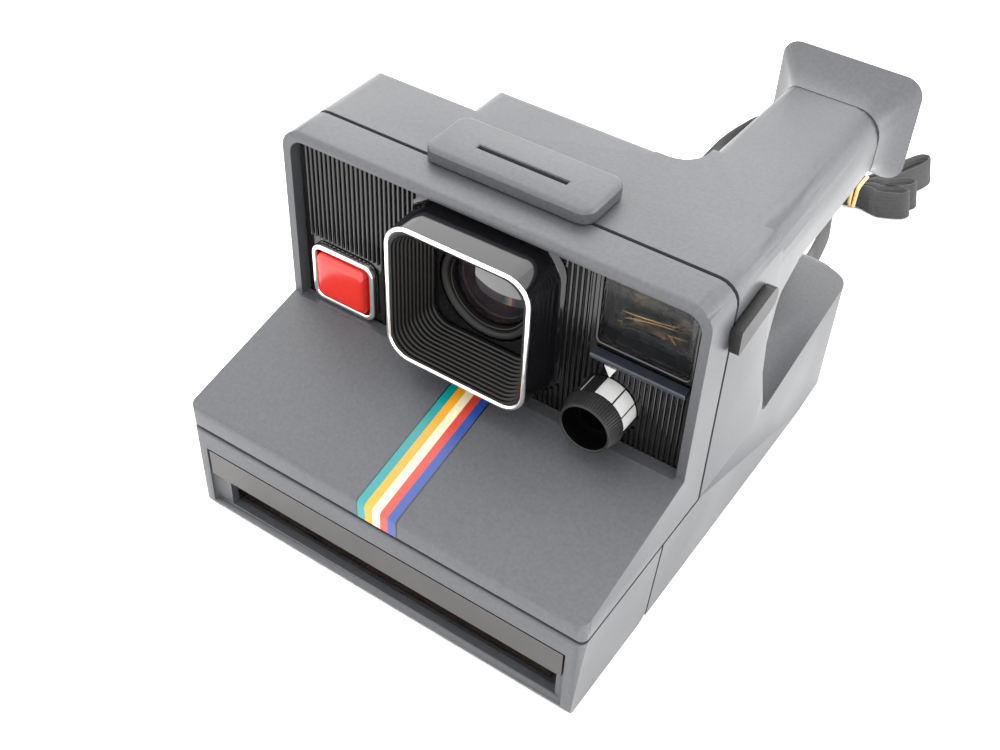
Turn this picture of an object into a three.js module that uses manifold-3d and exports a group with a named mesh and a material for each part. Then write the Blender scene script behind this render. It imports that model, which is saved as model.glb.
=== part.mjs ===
// Box-type instant camera: moulded shells, hood, viewfinder tube, film door with rollers, gear train.
// Millimetres. x = 0 is the middle of the body, y = 0 the front of the face frame (+Y to the rear),
// z = 0 the base that the camera stands on.
import * as THREE from 'three';
import { mergeVertices } from 'three/addons/utils/BufferGeometryUtils.js';
import Module from 'manifold-3d';

const wasm = await Module();
wasm.setup();

// ---------------------------------------------------------------- driving dimensions
const HALF_W = 56;            // half the body's width
const HALF_W_FOOT = 54.6;     // the same at the base, after the draft
const TOP_Z = 91.6;           // top of the body
const WALL = 2.3;             // moulded wall
const GAP = 0.3;              // clearance between touching pieces
const SEAM_Y = 11.3;          // parting groove round the upper body
const SEAM_HALF = 0.5;        // half the groove's width
const DOOR_TOP = 27.2;        // top of the film door
const DOOR_REAR = -6;         // rear edge of the film door
const COVER_FOOT = 28.2;      // lower edge of the front cover
const SHELF_FRONT = -40.1;    // front of the shelf and the door
const SHELF_LIP_Z = 34;       // top of the shelf at its front edge
const SHELF_REAR_Z = 43.6;    // top of the shelf at the face
const BLOCK_REAR = 34.2;      // rear wall of the upper body at the top
const DECK_Z = 27.2;          // top of the film chamber's deck
const BASE_REAR = 104.5;      // rear wall of the base
const HUMP_REAR = 43.5;       // top rear edge of the mirror housing
const PLATE_Y = 3;            // front of the face plate
const LENS_X = 0;
const LENS_Z = 68;            // lens axis
const RIM_Y = -9.6;           // front of the lens hood
const DIAL_X = 33.8;
const DIAL_Z = 53.1;          // axis of the exposure dial
const DIAL_FRONT = -7.7;      // front of the dial's grip
const GRIP_REAR = -3.3;       // where the grip meets the scale's barrel
const BUTTON_X = -40.9;
const BUTTON_Z = 52.2;        // middle of the shutter button
const TUBE_REAR = 90;         // rear end of the viewfinder tube
const EYECUP_REAR = 101.5;
const HINGE_Y = -9.2;
const HINGE_Z = 3.2;          // film door's hinge axis
const ROLLER_Y = -23;
const ROLLER_R = 4.2;
const LOWER_ROLLER_Z = 6.9;
const UPPER_ROLLER_Z = 15.6;
const GEAR_MODULE = 0.8;
const GEAR_X = [49.6, 51.3];  // plane of the gear train
const CHAMBER_X = 46.5;       // half the film chamber's width
const STRAP_W = 8.5;          // flat strap, standing on its edge
const STRAP_T = 1.3;

// ---------------------------------------------------------------- materials
function material(color, roughness, metalness = 0) {
  return new THREE.MeshStandardMaterial({ color, roughness, metalness });
}

const finish = {
  shell: material(0x3b3d40, 0.55),
  face: material(0x141416, 0.3),
  gloss: material(0x0d0d0f, 0.12),
  chrome: material(0xe4e6e8, 0.12, 1),
  red: material(0xd8261c, 0.25),
  glass: material(0x9aa3a6, 0.05),
  white: material(0xe9e9e6, 0.4),
  rubber: material(0x1b1b1c, 0.8),
  steel: material(0xb9bcc0, 0.3, 1),
  gear: material(0xded9c8, 0.5),
  board: material(0x1f5a3a, 0.6),
  brass: material(0xc9a24a, 0.35, 1),
  mirror: material(0xcfd6dc, 0.03, 1),
  strap: material(0x232325, 0.9),
};

// ---------------------------------------------------------------- solids
function solidOf(geometry) {
  const bare = geometry.index ? geometry.toNonIndexed() : geometry.clone();
  bare.deleteAttribute('normal');
  bare.deleteAttribute('uv');
  const merged = mergeVertices(bare, 1e-4);
  const vertProperties = new Float32Array(merged.attributes.position.array);
  const triVerts = new Uint32Array(merged.index.array);
  return new wasm.Manifold(new wasm.Mesh({ numProp: 3, vertProperties, triVerts }));
}

function geometryOf(solid) {
  const mesh = solid.getMesh();
  const geometry = new THREE.BufferGeometry();
  geometry.setAttribute('position', new THREE.BufferAttribute(Float32Array.from(mesh.vertProperties), 3));
  geometry.setIndex(new THREE.BufferAttribute(Uint32Array.from(mesh.triVerts), 1));
  geometry.computeVertexNormals();
  return geometry;
}

// A closed outline through corners [a, b, radius]; each radius becomes an arc of the given steps.
function outline(corners, steps = 4) {
  const points = [];
  const count = corners.length;
  corners.forEach(([a, b, radius = 0], i) => {
    const here = new THREE.Vector2(a, b);
    if (radius === 0) {
      points.push(here);
      return;
    }
    const before = new THREE.Vector2(...corners[(i + count - 1) % count].slice(0, 2)).sub(here).normalize();
    const after = new THREE.Vector2(...corners[(i + 1) % count].slice(0, 2)).sub(here).normalize();
    const half = Math.acos(THREE.MathUtils.clamp(before.dot(after), -1, 1)) / 2;
    const centre = before.clone().add(after).normalize().multiplyScalar(radius / Math.sin(half)).add(here);
    const reach = radius / Math.tan(half);
    const from = before.multiplyScalar(reach).add(here).sub(centre).angle();
    const to = after.multiplyScalar(reach).add(here).sub(centre).angle();
    const turn = Math.atan2(Math.sin(to - from), Math.cos(to - from));
    for (let k = 0; k <= steps; k += 1) {
      const angle = from + (turn * k) / steps;
      points.push(new THREE.Vector2(Math.cos(angle), Math.sin(angle)).multiplyScalar(radius).add(centre));
    }
  });
  return new THREE.Shape(points);
}

// Rectangle corners about the middle (a, b), ready for outline().
function box2(a, b, halfA, halfB, radius = 0) {
  return [[a - halfA, b - halfB, radius], [a + halfA, b - halfB, radius],
    [a + halfA, b + halfB, radius], [a - halfA, b + halfB, radius]];
}

function extrude(shape, depth, steps = 1) {
  return new THREE.ExtrudeGeometry(shape, { depth, steps, bevelEnabled: false });
}

// Prisms: a YZ outline along X, an XZ outline along Y, and an XY outline along Z.
function alongX(shape, from, to) {
  const geometry = extrude(shape, to - from);
  geometry.applyMatrix4(new THREE.Matrix4().set(0, 0, 1, from, 1, 0, 0, 0, 0, 1, 0, 0, 0, 0, 0, 1));
  return geometry;
}

function alongY(shape, from, to, steps = 1) {
  return extrude(shape, to - from, steps).rotateX(Math.PI / 2).translate(0, to, 0);
}

function alongZ(shape, from, to) {
  return extrude(shape, to - from).translate(0, 0, from);
}

const prismX = (corners, from, to, steps) => solidOf(alongX(outline(corners, steps), from, to));
const prismY = (corners, from, to, steps) => solidOf(alongY(outline(corners, steps), from, to));
const prismZ = (corners, from, to, steps) => solidOf(alongZ(outline(corners, steps), from, to));

function block(x, y, z) {
  const geometry = new THREE.BoxGeometry(x[1] - x[0], y[1] - y[0], z[1] - z[0]);
  return solidOf(geometry.translate((x[0] + x[1]) / 2, (y[0] + y[1]) / 2, (z[0] + z[1]) / 2));
}

// Turned pieces: a profile of [radius, position] pairs about an axis along X or Y.
function turned(profile, segments) {
  return new THREE.LatheGeometry(profile.map(([r, t]) => new THREE.Vector2(r, t)), segments);
}

function turnedX(profile, y, z, segments = 24) {
  return solidOf(turned(profile, segments).rotateZ(-Math.PI / 2).translate(0, y, z));
}

function turnedY(profile, x, z, segments = 32) {
  return solidOf(turned(profile, segments).translate(x, 0, z));
}

const rodX = (r, x, y, z, segments) => turnedX([[0, x[0]], [r, x[0]], [r, x[1]], [0, x[1]]], y, z, segments);
const rodY = (r, y, x, z, segments) => turnedY([[0, y[0]], [r, y[0]], [r, y[1]], [0, y[1]]], x, z, segments);

// Scales a geometry's x and z about an axis along Y by a factor that depends on y.
function flare(geometry, x, z, factor) {
  const at = geometry.attributes.position;
  for (let i = 0; i < at.count; i += 1) {
    const k = factor(at.getY(i));
    at.setX(i, x + (at.getX(i) - x) * k);
    at.setZ(i, z + (at.getZ(i) - z) * k);
  }
  return geometry;
}

const root = new THREE.Group();

function add(name, solid, look, parent = root) {
  const geometry = solid.isBufferGeometry ? solid : geometryOf(solid);
  const mesh = new THREE.Mesh(geometry, look);
  mesh.name = name;
  parent.add(mesh);
}

// ---------------------------------------------------------------- outlines that the shells share
// Front view of the body from the height foot up, inset by d: draft at the base, rounded shoulders.
function bodyFront(d, foot) {
  const shoulder = 5 - d / 2;
  return [[-HALF_W_FOOT + d, foot + d], [HALF_W_FOOT - d, foot + d],
    [HALF_W - d, COVER_FOOT], [HALF_W - d, TOP_Z - d, shoulder],
    [-HALF_W + d, TOP_Z - d, shoulder], [-HALF_W + d, COVER_FOOT]];
}

// Plan of the body: parallel sides, then a taper to a rear wall with cut corners.
const BODY_PLAN = [[-HALF_W, SHELF_FRONT, 2.5], [HALF_W, SHELF_FRONT, 2.5], [HALF_W, 40], [54, 98, 5],
  [40, BASE_REAR, 8], [-40, BASE_REAR, 8], [-54, 98, 5], [-HALF_W, 40]];

const bodyPlan = () => prismZ(BODY_PLAN, -1, TOP_Z + 1, 5);
const bodyShape = () => prismY(bodyFront(0, 0), SHELF_FRONT - 1, BASE_REAR + 1, 5);

// ---------------------------------------------------------------- rear housing
const TUBE_SECTION = [[27.7, 74.8, 3], [HALF_W, 74.8, 3], [HALF_W, TOP_Z, 8], [27.7, TOP_Z, 3]];
const TUBE_MID = 42.2;         // middle of the tube's width
const TAPER_FROM = 36;
const TUBE_TAPER = 0.135;      // share of its width that the tube loses by the eyecup's rim
const CHANNEL_Z = 83.4;        // middle of the bore through the tube

// The tube narrows a little towards the eye.
function tubeTaper(y) {
  const along = Math.max(0, (y - TAPER_FROM) / (EYECUP_REAR - TAPER_FROM));
  return 1 - TUBE_TAPER * along;
}

function viewfinderTube() {
  const body = alongY(outline(TUBE_SECTION, 5), 28, TUBE_REAR, 2);
  const at = body.attributes.position;
  for (let i = 0; i < at.count; i += 1) {
    const k = tubeTaper(at.getY(i));
    at.setX(i, TUBE_MID + (at.getX(i) - TUBE_MID) * k);
  }
  const under = [[33, 58], [36.4, 58], [37.4, 68], [38.4, 72, 4], [45.5, 76.2], [45.5, 80], [33, 80]];
  return solidOf(body).add(prismX(under, 31, 55.5));
}

// Fills the inner corner between the mirror housing and the tube to a soft radius.
function tubeWeb() {
  const plan = [[18, 28], [34, 28], [34, 52.2], [28.2, 52.2], [27.9, HUMP_REAR, 7], [18, HUMP_REAR]];
  return prismZ(plan, 76, TOP_Z, 6);
}

// Rear wall of the upper block, from the top down: its y, its height and its corners' radius there.
const REAR_WALL = [[BLOCK_REAR, TOP_Z, 3.4], [35.6, 70.2, 3.4], [38.3, 48.6, 1.6], [41.95, 36.4, 0.2]];

// The block's upright rear corners are rounded; below them the base keeps its full plan.
function blockCorners() {
  const plans = REAR_WALL.map(([rear, z, radius]) => prismZ([[-HALF_W, -60], [HALF_W, -60],
    [HALF_W, rear, radius], [-HALF_W, rear, radius]], z, z + 0.01, 5));
  const base = block([-HALF_W, HALF_W], [-60, BASE_REAR], [-1, REAR_WALL[3][1]]);
  return plans.slice(1).reduce((solid, plan, i) => solid.add(wasm.Manifold.hull([plans[i], plan])), base);
}

function housingOuter() {
  const side = prismX([[DOOR_REAR + 0.8, 0], [BASE_REAR, 0, 3], [BASE_REAR, 36.4, 4], [43.9, 29.9, 3],
    [38.3, 48.6], [35.6, 70.2], [BLOCK_REAR, TOP_Z, 2.5], [SEAM_Y + SEAM_HALF, TOP_Z],
    [SEAM_Y + SEAM_HALF, DECK_Z], [DOOR_REAR + 0.8, DECK_Z]], -HALF_W, HALF_W);
  const mirrorSide = prismX([[30, 30], [97, 30], [97, 37.5, 3], [HUMP_REAR, TOP_Z, 3], [30, TOP_Z]], -45, 45);
  const mirrorFront = prismY([[-40, 29], [40, 29], [26, TOP_Z, 4], [-26, TOP_Z, 4]], 30, 98);
  const body = side.intersect(bodyShape()).intersect(bodyPlan()).intersect(blockCorners());
  return body.add(mirrorSide.intersect(mirrorFront))
    .add(viewfinderTube()).add(tubeWeb());
}

function housingHollows() {
  const upper = prismX([[SEAM_Y, 29.5], [41, 29.5], [41, 31], [36, 48.6], [33.3, 70], [31.9, TOP_Z - WALL],
    [SEAM_Y, TOP_Z - WALL]], -60, 60).intersect(prismY(bodyFront(WALL, 20), 0, 60));
  const mirrorSide = prismX([[29, 29.4], [93.5, 29.4], [93.5, 37], [42, TOP_Z - WALL], [29, TOP_Z - WALL]],
    -45, 45);
  const mirrorFront = prismY([[-37.4, 28], [37.4, 28], [23.7, TOP_Z, 0], [-23.7, TOP_Z, 0]], 20, 98);
  const chamber = block([-CHAMBER_X, CHAMBER_X], [-8, 101], [WALL, 25.9]);
  const exposure = block([-39.5, 39.5], [14, 93.5], [24, 34]);
  const channel = block([33.2, 51.2], [25, TUBE_REAR + 2], [CHANNEL_Z - 4.8, CHANNEL_Z + 4.8]);
  const sideBay = block([CHAMBER_X + 2.4, 53.2], [-8, 94], [3, 24]);
  const gearBay = block([CHAMBER_X + 2.4, 53.2], [-8, 34], [6, 36]);
  const counterBay = block([-34, -18], [95.6, 102.4], [27.4, 33.4]);
  const counterWindow = block([-31, -21], [100, BASE_REAR + 2], [28, 33]);
  const latchSlot = block([-60, -HALF_W + 3.2], [1, 16], [15, 19]);
  return [upper, mirrorSide.intersect(mirrorFront), chamber, exposure, channel, sideBay,
    sideBay.mirror([1, 0, 0]), gearBay, counterBay, counterWindow, latchSlot];
}

// Lip that reaches forward inside the front cover and closes the groove.
function seamLip() {
  const ring = prismY(bodyFront(WALL + 0.4, DECK_Z - WALL), SEAM_Y - 2.6, SEAM_Y + 3);
  return ring.subtract(prismY(bodyFront(WALL + 1.8, 10), SEAM_Y - 4, SEAM_Y + 4));
}

function hingeEars() {
  const right = prismX([[-13.6, 1, 3], [-4, 1], [-4, 23.5], [-13.6, 19.5, 3]], 51.7, 52.8);
  const left = prismX([[-12.4, 1, 3], [-4, 1], [-4, 8], [-12.4, 7, 3]], -52.8, -51.7);
  return right.add(left);
}

const GEARS = {
  roller: { teeth: 14, at: [ROLLER_Y, UPPER_ROLLER_Z], bore: 0.9 },
  transfer: { teeth: 18, at: [-10.2, UPPER_ROLLER_Z], bore: 1.6 },
  drive: { teeth: 24, at: [4.3, 24.1], bore: 1.6 },
  reduction: { teeth: 20, at: [16.6, 36.7], bore: 1.6 },
  pinion: { teeth: 10, at: [25.3, 45], bore: 1.1 },
};

function gearStuds() {
  const studs = ['transfer', 'drive', 'reduction'].map((name) => {
    const [y, z] = GEARS[name].at;
    return rodX(1.3, [GEAR_X[0], 54], y, z, 12);
  });
  const short = studs[0].subtract(block([52, 60], [-60, 60], [0, 60]));
  return short.add(studs[1]).add(studs[2]);
}

function rearHousing() {
  const shell = housingHollows().reduce((solid, hollow) => solid.subtract(hollow), housingOuter());
  const ears = hingeEars().subtract(rodX(1.7, [-60, 60], HINGE_Y, HINGE_Z, 16));
  const roots = block([51.7, 54], [-5.1, -3], [1.5, 23]).add(block([-54, -51.7], [-5.1, -3], [1.5, 7.5]));
  return shell.add(seamLip()).add(ears).add(roots).add(gearStuds());
}

add('rear_housing', rearHousing(), finish.shell);

// ---------------------------------------------------------------- front cover with the sloping shelf
function frontCover() {
  const side = prismX([[SHELF_FRONT, COVER_FOOT, 0.8], [SEAM_Y - SEAM_HALF, COVER_FOOT],
    [SEAM_Y - SEAM_HALF, TOP_Z], [0, TOP_Z, 1.6], [0, SHELF_REAR_Z], [SHELF_FRONT, SHELF_LIP_Z, 1.2]],
  -HALF_W, HALF_W);
  const outer = side.intersect(bodyShape()).intersect(bodyPlan());
  const floorZ = 41.2;
  const hollow = prismX([[SHELF_FRONT + WALL, 20], [SHELF_FRONT + WALL, 31.6], [-1.6, floorZ],
    [PLATE_Y - GAP, floorZ], [PLATE_Y - GAP, SHELF_REAR_Z - 0.2], [-1, SHELF_REAR_Z - 0.2], [-1, TOP_Z],
    [SEAM_Y + 2, TOP_Z], [SEAM_Y + 2, 20]], -60, 60);
  return outer.subtract(hollow.intersect(prismY(bodyFront(WALL, 10), -60, 60)));
}

add('front_cover', frontCover(), finish.shell);

// ---------------------------------------------------------------- face plate and what it carries
const WINDOW = { x: 40.6, z: 78.6, halfX: 11.4, halfZ: 9.4 };

function facePlate() {
  const plate = prismY([[-53.3, 38], [53.3, 38], [53.3, 89.0, 4], [-53.3, 89.0, 4]], PLATE_Y, PLATE_Y + 2);
  return plate
    .subtract(rodY(13.2, [0, 9], LENS_X, LENS_Z, 32))
    .subtract(prismY(box2(BUTTON_X, BUTTON_Z, 7.9, 7.2, 2), 0, 9))
    .subtract(rodY(5.4, [0, 9], DIAL_X, DIAL_Z, 24))
    .subtract(prismY(box2(WINDOW.x, WINDOW.z, WINDOW.halfX, WINDOW.halfZ, 2), 0, 9));
}

add('face_plate', facePlate(), finish.face);

function hoodScale(y) {
  return 1 - 0.02 * ((y - RIM_Y) / (PLATE_Y - RIM_Y));
}

function lensHood() {
  const front = RIM_Y + 1.9;
  const rear = PLATE_Y - GAP;
  const tube = alongY(outline(box2(LENS_X, LENS_Z, 19.4, 19.4, 6.6), 5), front, rear);
  const mouth = alongY(outline(box2(LENS_X, LENS_Z, 17.6, 17.6, 5.8), 5), RIM_Y, rear + 1);
  const funnelScale = (y) => 1 - 0.22 * ((y - RIM_Y) / (rear + 1 - RIM_Y));
  const outer = solidOf(flare(tube, LENS_X, LENS_Z, hoodScale));
  return outer.subtract(solidOf(flare(mouth, LENS_X, LENS_Z, funnelScale)));
}

add('lens_hood', lensHood(), finish.gloss);

// A rectangular frame with round corners, standing in the face.
function frameY(x, z, half, inner, radius, y) {
  return prismY(box2(x, z, half[0], half[1], radius), ...y, 5)
    .subtract(prismY(box2(x, z, inner[0], inner[1], radius - 1), y[0] - 1, y[1] + 1, 5));
}

const rim = frameY(LENS_X, LENS_Z, [19.6, 19.6], [17.7, 17.7], 6.8, [RIM_Y, RIM_Y + 1.6]);
add('hood_rim', rim, finish.chrome);

const CELL_SECTION = [[10.3, 2.9], [12.8, 2.9], [12.8, 9.4], [7.2, 9.4], [7.2, 8.4], [10.3, 8.4],
  [10.3, 2.9]];
add('lens_cell', turnedY(CELL_SECTION, LENS_X, LENS_Z), finish.gloss);

add('taking_lens', turnedY([[0, 4.4], [3.6, 4.7], [6.8, 5.6], [9.9, 7.1], [9.9, 8.1], [6.0, 8.1], [0, 8.1]],
  LENS_X, LENS_Z), finish.glass);

const buttonFrame = frameY(BUTTON_X, BUTTON_Z, [9.6, 8.4], [7.9, 6.9], 3, [0.9, PLATE_Y - GAP]);
add('button_frame', buttonFrame, finish.chrome);

function shutterButton() {
  const cap = prismY(box2(BUTTON_X, BUTTON_Z, 7.5, 6.5, 1.6), -0.4, 5.6);
  return cap.add(rodY(2, [5, 8.6], BUTTON_X, BUTTON_Z, 16));
}

add('shutter_button', shutterButton(), finish.red);

class Helix extends THREE.Curve {
  constructor(x, z, radius, from, to, turns) {
    super();
    Object.assign(this, { x, z, radius, from, to, turns });
  }

  getPoint(t, target = new THREE.Vector3()) {
    const angle = 2 * Math.PI * this.turns * t;
    return target.set(this.x + this.radius * Math.cos(angle), this.from + (this.to - this.from) * t,
      this.z + this.radius * Math.sin(angle));
  }
}

function coilSpring() {
  const section = new THREE.Shape(Array.from({ length: 6 }, (_, i) => {
    const angle = (i * Math.PI) / 3;
    return new THREE.Vector2(0.3 * Math.cos(angle), 0.3 * Math.sin(angle));
  }));
  const path = new Helix(BUTTON_X, BUTTON_Z, 3, 6.3, 11, 4);
  return solidOf(new THREE.ExtrudeGeometry(section, { steps: 48, extrudePath: path, bevelEnabled: false }));
}

add('button_spring', coilSpring(), finish.steel);

// The dial's grip is a cone, widest where it meets the barrel that carries the scale.
const GRIP_SECTION = [[5.8, DIAL_FRONT], [6.4, DIAL_FRONT], [7.5, GRIP_REAR], [5.8, GRIP_REAR],
  [5.8, DIAL_FRONT]];
add('exposure_dial', turnedY(GRIP_SECTION, DIAL_X, DIAL_Z), finish.rubber);

const BARREL_FRONT = GRIP_REAR + GAP;
const BARREL_SECTION = [[3.6, BARREL_FRONT], [7.2, BARREL_FRONT], [7.2, PLATE_Y - GAP], [5, PLATE_Y - GAP],
  [5, 6], [3.6, 6], [3.6, BARREL_FRONT]];
add('exposure_scale', turnedY(BARREL_SECTION, DIAL_X, DIAL_Z), finish.white);

add('light_sensor', rodY(2.6, [6.6, 9.5], DIAL_X, DIAL_Z, 20), finish.glass);

function windowLens() {
  const outer = box2(WINDOW.x, WINDOW.z, WINDOW.halfX - GAP, WINDOW.halfZ - GAP, 1.7);
  return prismY(outer, 3.4, 6.4);
}

add('viewfinder_front_lens', windowLens(), finish.glass);

add('viewfinder_visor', prismX([[0.1, 66.3], [2.7, 65.9], [2.7, 67.9], [0.1, 67.5]], 29, 52.6), finish.gloss);

function viewfinderTunnel() {
  const outer = block([29.4, 50.2], [6.8, 27], [70.6, 86.4]);
  return outer.subtract(block([30.6, 49], [5, 30], [71.8, 85.2]));
}

add('viewfinder_tunnel', viewfinderTunnel(), finish.gloss);

add('viewfinder_eye_lens', prismY(box2(42.2, CHANNEL_Z, 8.6, 4.4, 1), 86, 88), finish.glass);

// ---------------------------------------------------------------- eyecup
const CUP_STEPS = 7;
// Section at the tube's end, and how far the rim flares out on each side of it.
const CUP = { x: 42.15, z: 83.25, halfX: 12.15, halfZ: 8.25, left: 7.6, right: 5, down: 6.6, up: 5.6 };

// The cup's section grows along a quarter-wave from the tube's end to the rim.
function cupGrowth(y) {
  const t = THREE.MathUtils.clamp((y - TUBE_REAR) / (EYECUP_REAR - TUBE_REAR), 0, 1);
  return 1 - Math.cos((t * Math.PI) / 2);
}

function eyecup() {
  const section = outline(box2(CUP.x, CUP.z, CUP.halfX, CUP.halfZ, 3.4), 4);
  const shape = alongY(section, TUBE_REAR + GAP, EYECUP_REAR, CUP_STEPS);
  const at = shape.attributes.position;
  for (let i = 0; i < at.count; i += 1) {
    const grow = cupGrowth(at.getY(i));
    const side = (at.getX(i) - CUP.x) / CUP.halfX;
    const rise = (at.getZ(i) - CUP.z) / CUP.halfZ;
    at.setX(i, at.getX(i) + grow * (side < 0 ? CUP.left : CUP.right) * side);
    at.setZ(i, at.getZ(i) + grow * (rise < 0 ? CUP.down : CUP.up) * rise);
  }
  const bore = block([33.2, 51.2], [80, 110], [CHANNEL_Z - 4.8, CHANNEL_Z + 4.8]);
  const dish = flare(alongY(outline(box2(41.5, 83, 9, 5.4, 2)), TUBE_REAR + 3, EYECUP_REAR + 1, 3), 41.5, 83,
    (y) => 1 + 0.062 * (y - TUBE_REAR - 3));
  return solidOf(shape).subtract(bore).subtract(solidOf(dish));
}

add('eyecup', eyecup(), finish.shell);

// ---------------------------------------------------------------- top: flash socket
const SOCKET = { x: [-22.3, 21.3], y: [8.6, 25], z: [TOP_Z + GAP, TOP_Z + 4] };

function flashSocket() {
  const midX = (SOCKET.x[0] + SOCKET.x[1]) / 2;
  const midY = (SOCKET.y[0] + SOCKET.y[1]) / 2;
  const halfX = (SOCKET.x[1] - SOCKET.x[0]) / 2;
  const halfY = (SOCKET.y[1] - SOCKET.y[0]) / 2;
  const plate = new THREE.ExtrudeGeometry(outline(box2(midX, midY, halfX - 1, halfY - 1, 2.4)),
    { depth: SOCKET.z[1] - SOCKET.z[0] - 1, bevelSize: 1, bevelThickness: 1, bevelSegments: 2 });
  plate.translate(0, 0, SOCKET.z[0]);
  const slab = solidOf(plate).intersect(block([-30, 30], [0, 40], [SOCKET.z[0], SOCKET.z[1] + 1]));
  return slab.subtract(block([-12, 11.5], [15.1, 16.5], [TOP_Z, TOP_Z + 6]));
}

add('flash_socket', flashSocket(), finish.shell);
add('flash_contacts', block([-12.5, 12], [14.7, 18.6], [81, TOP_Z - WALL - GAP]), finish.gloss);

// Snap clip that bridges the groove on the right flank.
add('side_clip', prismX([[9.6, 75.2, 0.5], [26.6, 78.6, 2.6], [26.2, 84.4, 2.6], [9.4, 81.8, 0.5]],
  HALF_W + GAP, HALF_W + 2.8), finish.rubber);

// ---------------------------------------------------------------- film door
function filmDoor() {
  const side = prismX([[SHELF_FRONT, 0, 2.6], [DOOR_REAR, 0, 3.2], [DOOR_REAR, DOOR_TOP],
    [SHELF_FRONT, DOOR_TOP, 0.8]], -HALF_W, HALF_W, 5);
  const outer = side.intersect(bodyShape()).intersect(bodyPlan());
  const hollow = prismX([[-36.4, WALL], [0, WALL], [0, 24.9], [-36.4, 24.9]], -53.2, 53.2);
  const recess = block([-52, 52], [-50, SHELF_FRONT + 1.5], [2.6, 21.6]);
  const slot = block([-47, 49.6], [-50, -30], [3.2, 12.6]);
  const pins = rodX(1.5, [-54.1, 54.1], HINGE_Y, HINGE_Z, 16);
  const earNotch = block([51.2, 53.2], [-14.6, 0], [-1, 3]);
  return [hollow, recess, slot, pins, earNotch, earNotch.mirror([1, 0, 0])]
    .reduce((solid, hollowed) => solid.subtract(hollowed), outer);
}

const doorGroup = new THREE.Group();
root.add(doorGroup);
add('film_door', filmDoor(), finish.shell, doorGroup);
const nameStrip = block([-51.4, 51.4], [SHELF_FRONT + 0.2, SHELF_FRONT + 1.2], [13, 20.9]);
add('door_name_strip', nameStrip, finish.gloss, doorGroup);
const exitGuide = prismX([[-35.6, 3.2], [-28.4, 6.6], [-28.4, 7.9], [-35.6, 4.5]], -46.6, 46.6);
add('exit_guide', exitGuide, finish.gloss, doorGroup);

for (const [side, x] of [['right', [47.1, 48.7]], ['left', [-48.7, -47.1]]]) {
  const bracket = prismX([[-28.6, WALL + GAP], [-17.4, WALL + GAP], [-17.4, 21.6, 2], [-28.6, 21.6, 2]], ...x)
    .subtract(rodX(1.5, [-60, 60], ROLLER_Y, LOWER_ROLLER_Z, 16))
    .subtract(rodX(1.5, [-60, 60], ROLLER_Y, UPPER_ROLLER_Z, 16));
  add(`roller_bracket_${side}`, bracket, finish.steel, doorGroup);
}

function roller(z, endX) {
  return turnedX([[0, -49.2], [1.2, -49.2], [1.2, -46.8], [ROLLER_R, -46.8], [ROLLER_R, 46.8], [1.2, 46.8],
    [1.2, endX], [0, endX]], ROLLER_Y, z, 24);
}

add('lower_roller', roller(LOWER_ROLLER_Z, 49.2), finish.steel, doorGroup);
add('upper_roller', roller(UPPER_ROLLER_Z, GEAR_X[0] - GAP), finish.steel, doorGroup);

for (const [side, x] of [['right', [51.4, 53.9]], ['left', [-53.9, -51.4]]]) {
  add(`hinge_pin_${side}`, rodX(1.2, x, HINGE_Y, HINGE_Z, 16), finish.steel, doorGroup);
}

// ---------------------------------------------------------------- gear train
// Angle of a tooth of the second gear so that it sits in the first gear's gap on their line of centres.
function meshPhase(first, second, phase) {
  const line = Math.atan2(second.at[1] - first.at[1], second.at[0] - first.at[0]);
  const radius = (gear) => (gear.teeth * GEAR_MODULE) / 2;
  const pitch = Math.PI * GEAR_MODULE;
  return line + Math.PI - ((phase - line) * radius(first) + pitch / 2) / radius(second);
}

function gear({ teeth, at, bore }, phase) {
  const pitchR = (teeth * GEAR_MODULE) / 2;
  const tip = pitchR + 0.55 * GEAR_MODULE;
  const foot = pitchR - 0.95 * GEAR_MODULE;
  const points = [];
  for (let i = 0; i < teeth; i += 1) {
    const mid = phase + (2 * Math.PI * i) / teeth;
    const rootHalf = (0.3 * 2 * Math.PI) / teeth;
    const tipHalf = (0.12 * 2 * Math.PI) / teeth;
    for (const [r, a] of [[foot, -rootHalf], [tip, -tipHalf], [tip, tipHalf], [foot, rootHalf]]) {
      points.push(new THREE.Vector2(at[0] + r * Math.cos(mid + a), at[1] + r * Math.sin(mid + a)));
    }
  }
  return solidOf(alongX(new THREE.Shape(points), ...GEAR_X)).subtract(rodX(bore, [40, 60], ...at, 16));
}

const phases = { drive: 0 };
phases.transfer = meshPhase(GEARS.drive, GEARS.transfer, phases.drive);
phases.reduction = meshPhase(GEARS.drive, GEARS.reduction, phases.drive);
phases.roller = meshPhase(GEARS.transfer, GEARS.roller, phases.transfer);
phases.pinion = meshPhase(GEARS.reduction, GEARS.pinion, phases.reduction);
add('drive_gear', gear(GEARS.drive, phases.drive), finish.gear);
add('transfer_gear', gear(GEARS.transfer, phases.transfer), finish.gear);
add('reduction_gear', gear(GEARS.reduction, phases.reduction), finish.gear);
add('roller_gear', gear(GEARS.roller, phases.roller), finish.gear, doorGroup);
add('motor_pinion', gear(GEARS.pinion, phases.pinion), finish.brass);

const [MOTOR_Y, MOTOR_Z] = GEARS.pinion.at;
const MOTOR_SECTION = [[0, 24], [7.2, 24], [7.2, 46.4], [2.4, 46.4], [2.4, 47.6], [0.8, 47.6],
  [0.8, GEAR_X[1]], [0, GEAR_X[1]]];
add('drive_motor', turnedX(MOTOR_SECTION, MOTOR_Y, MOTOR_Z, 24), finish.steel);

// ---------------------------------------------------------------- shutter, light path, electrics
const SHUTTER_Y = 10.4;

function shutterBase() {
  const plate = prismY(box2(LENS_X, LENS_Z, 20, 14, 2), SHUTTER_Y + 2.2, SHUTTER_Y + 3.6);
  return plate.subtract(rodY(5.2, [0, 30], LENS_X, LENS_Z, 24));
}

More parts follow.
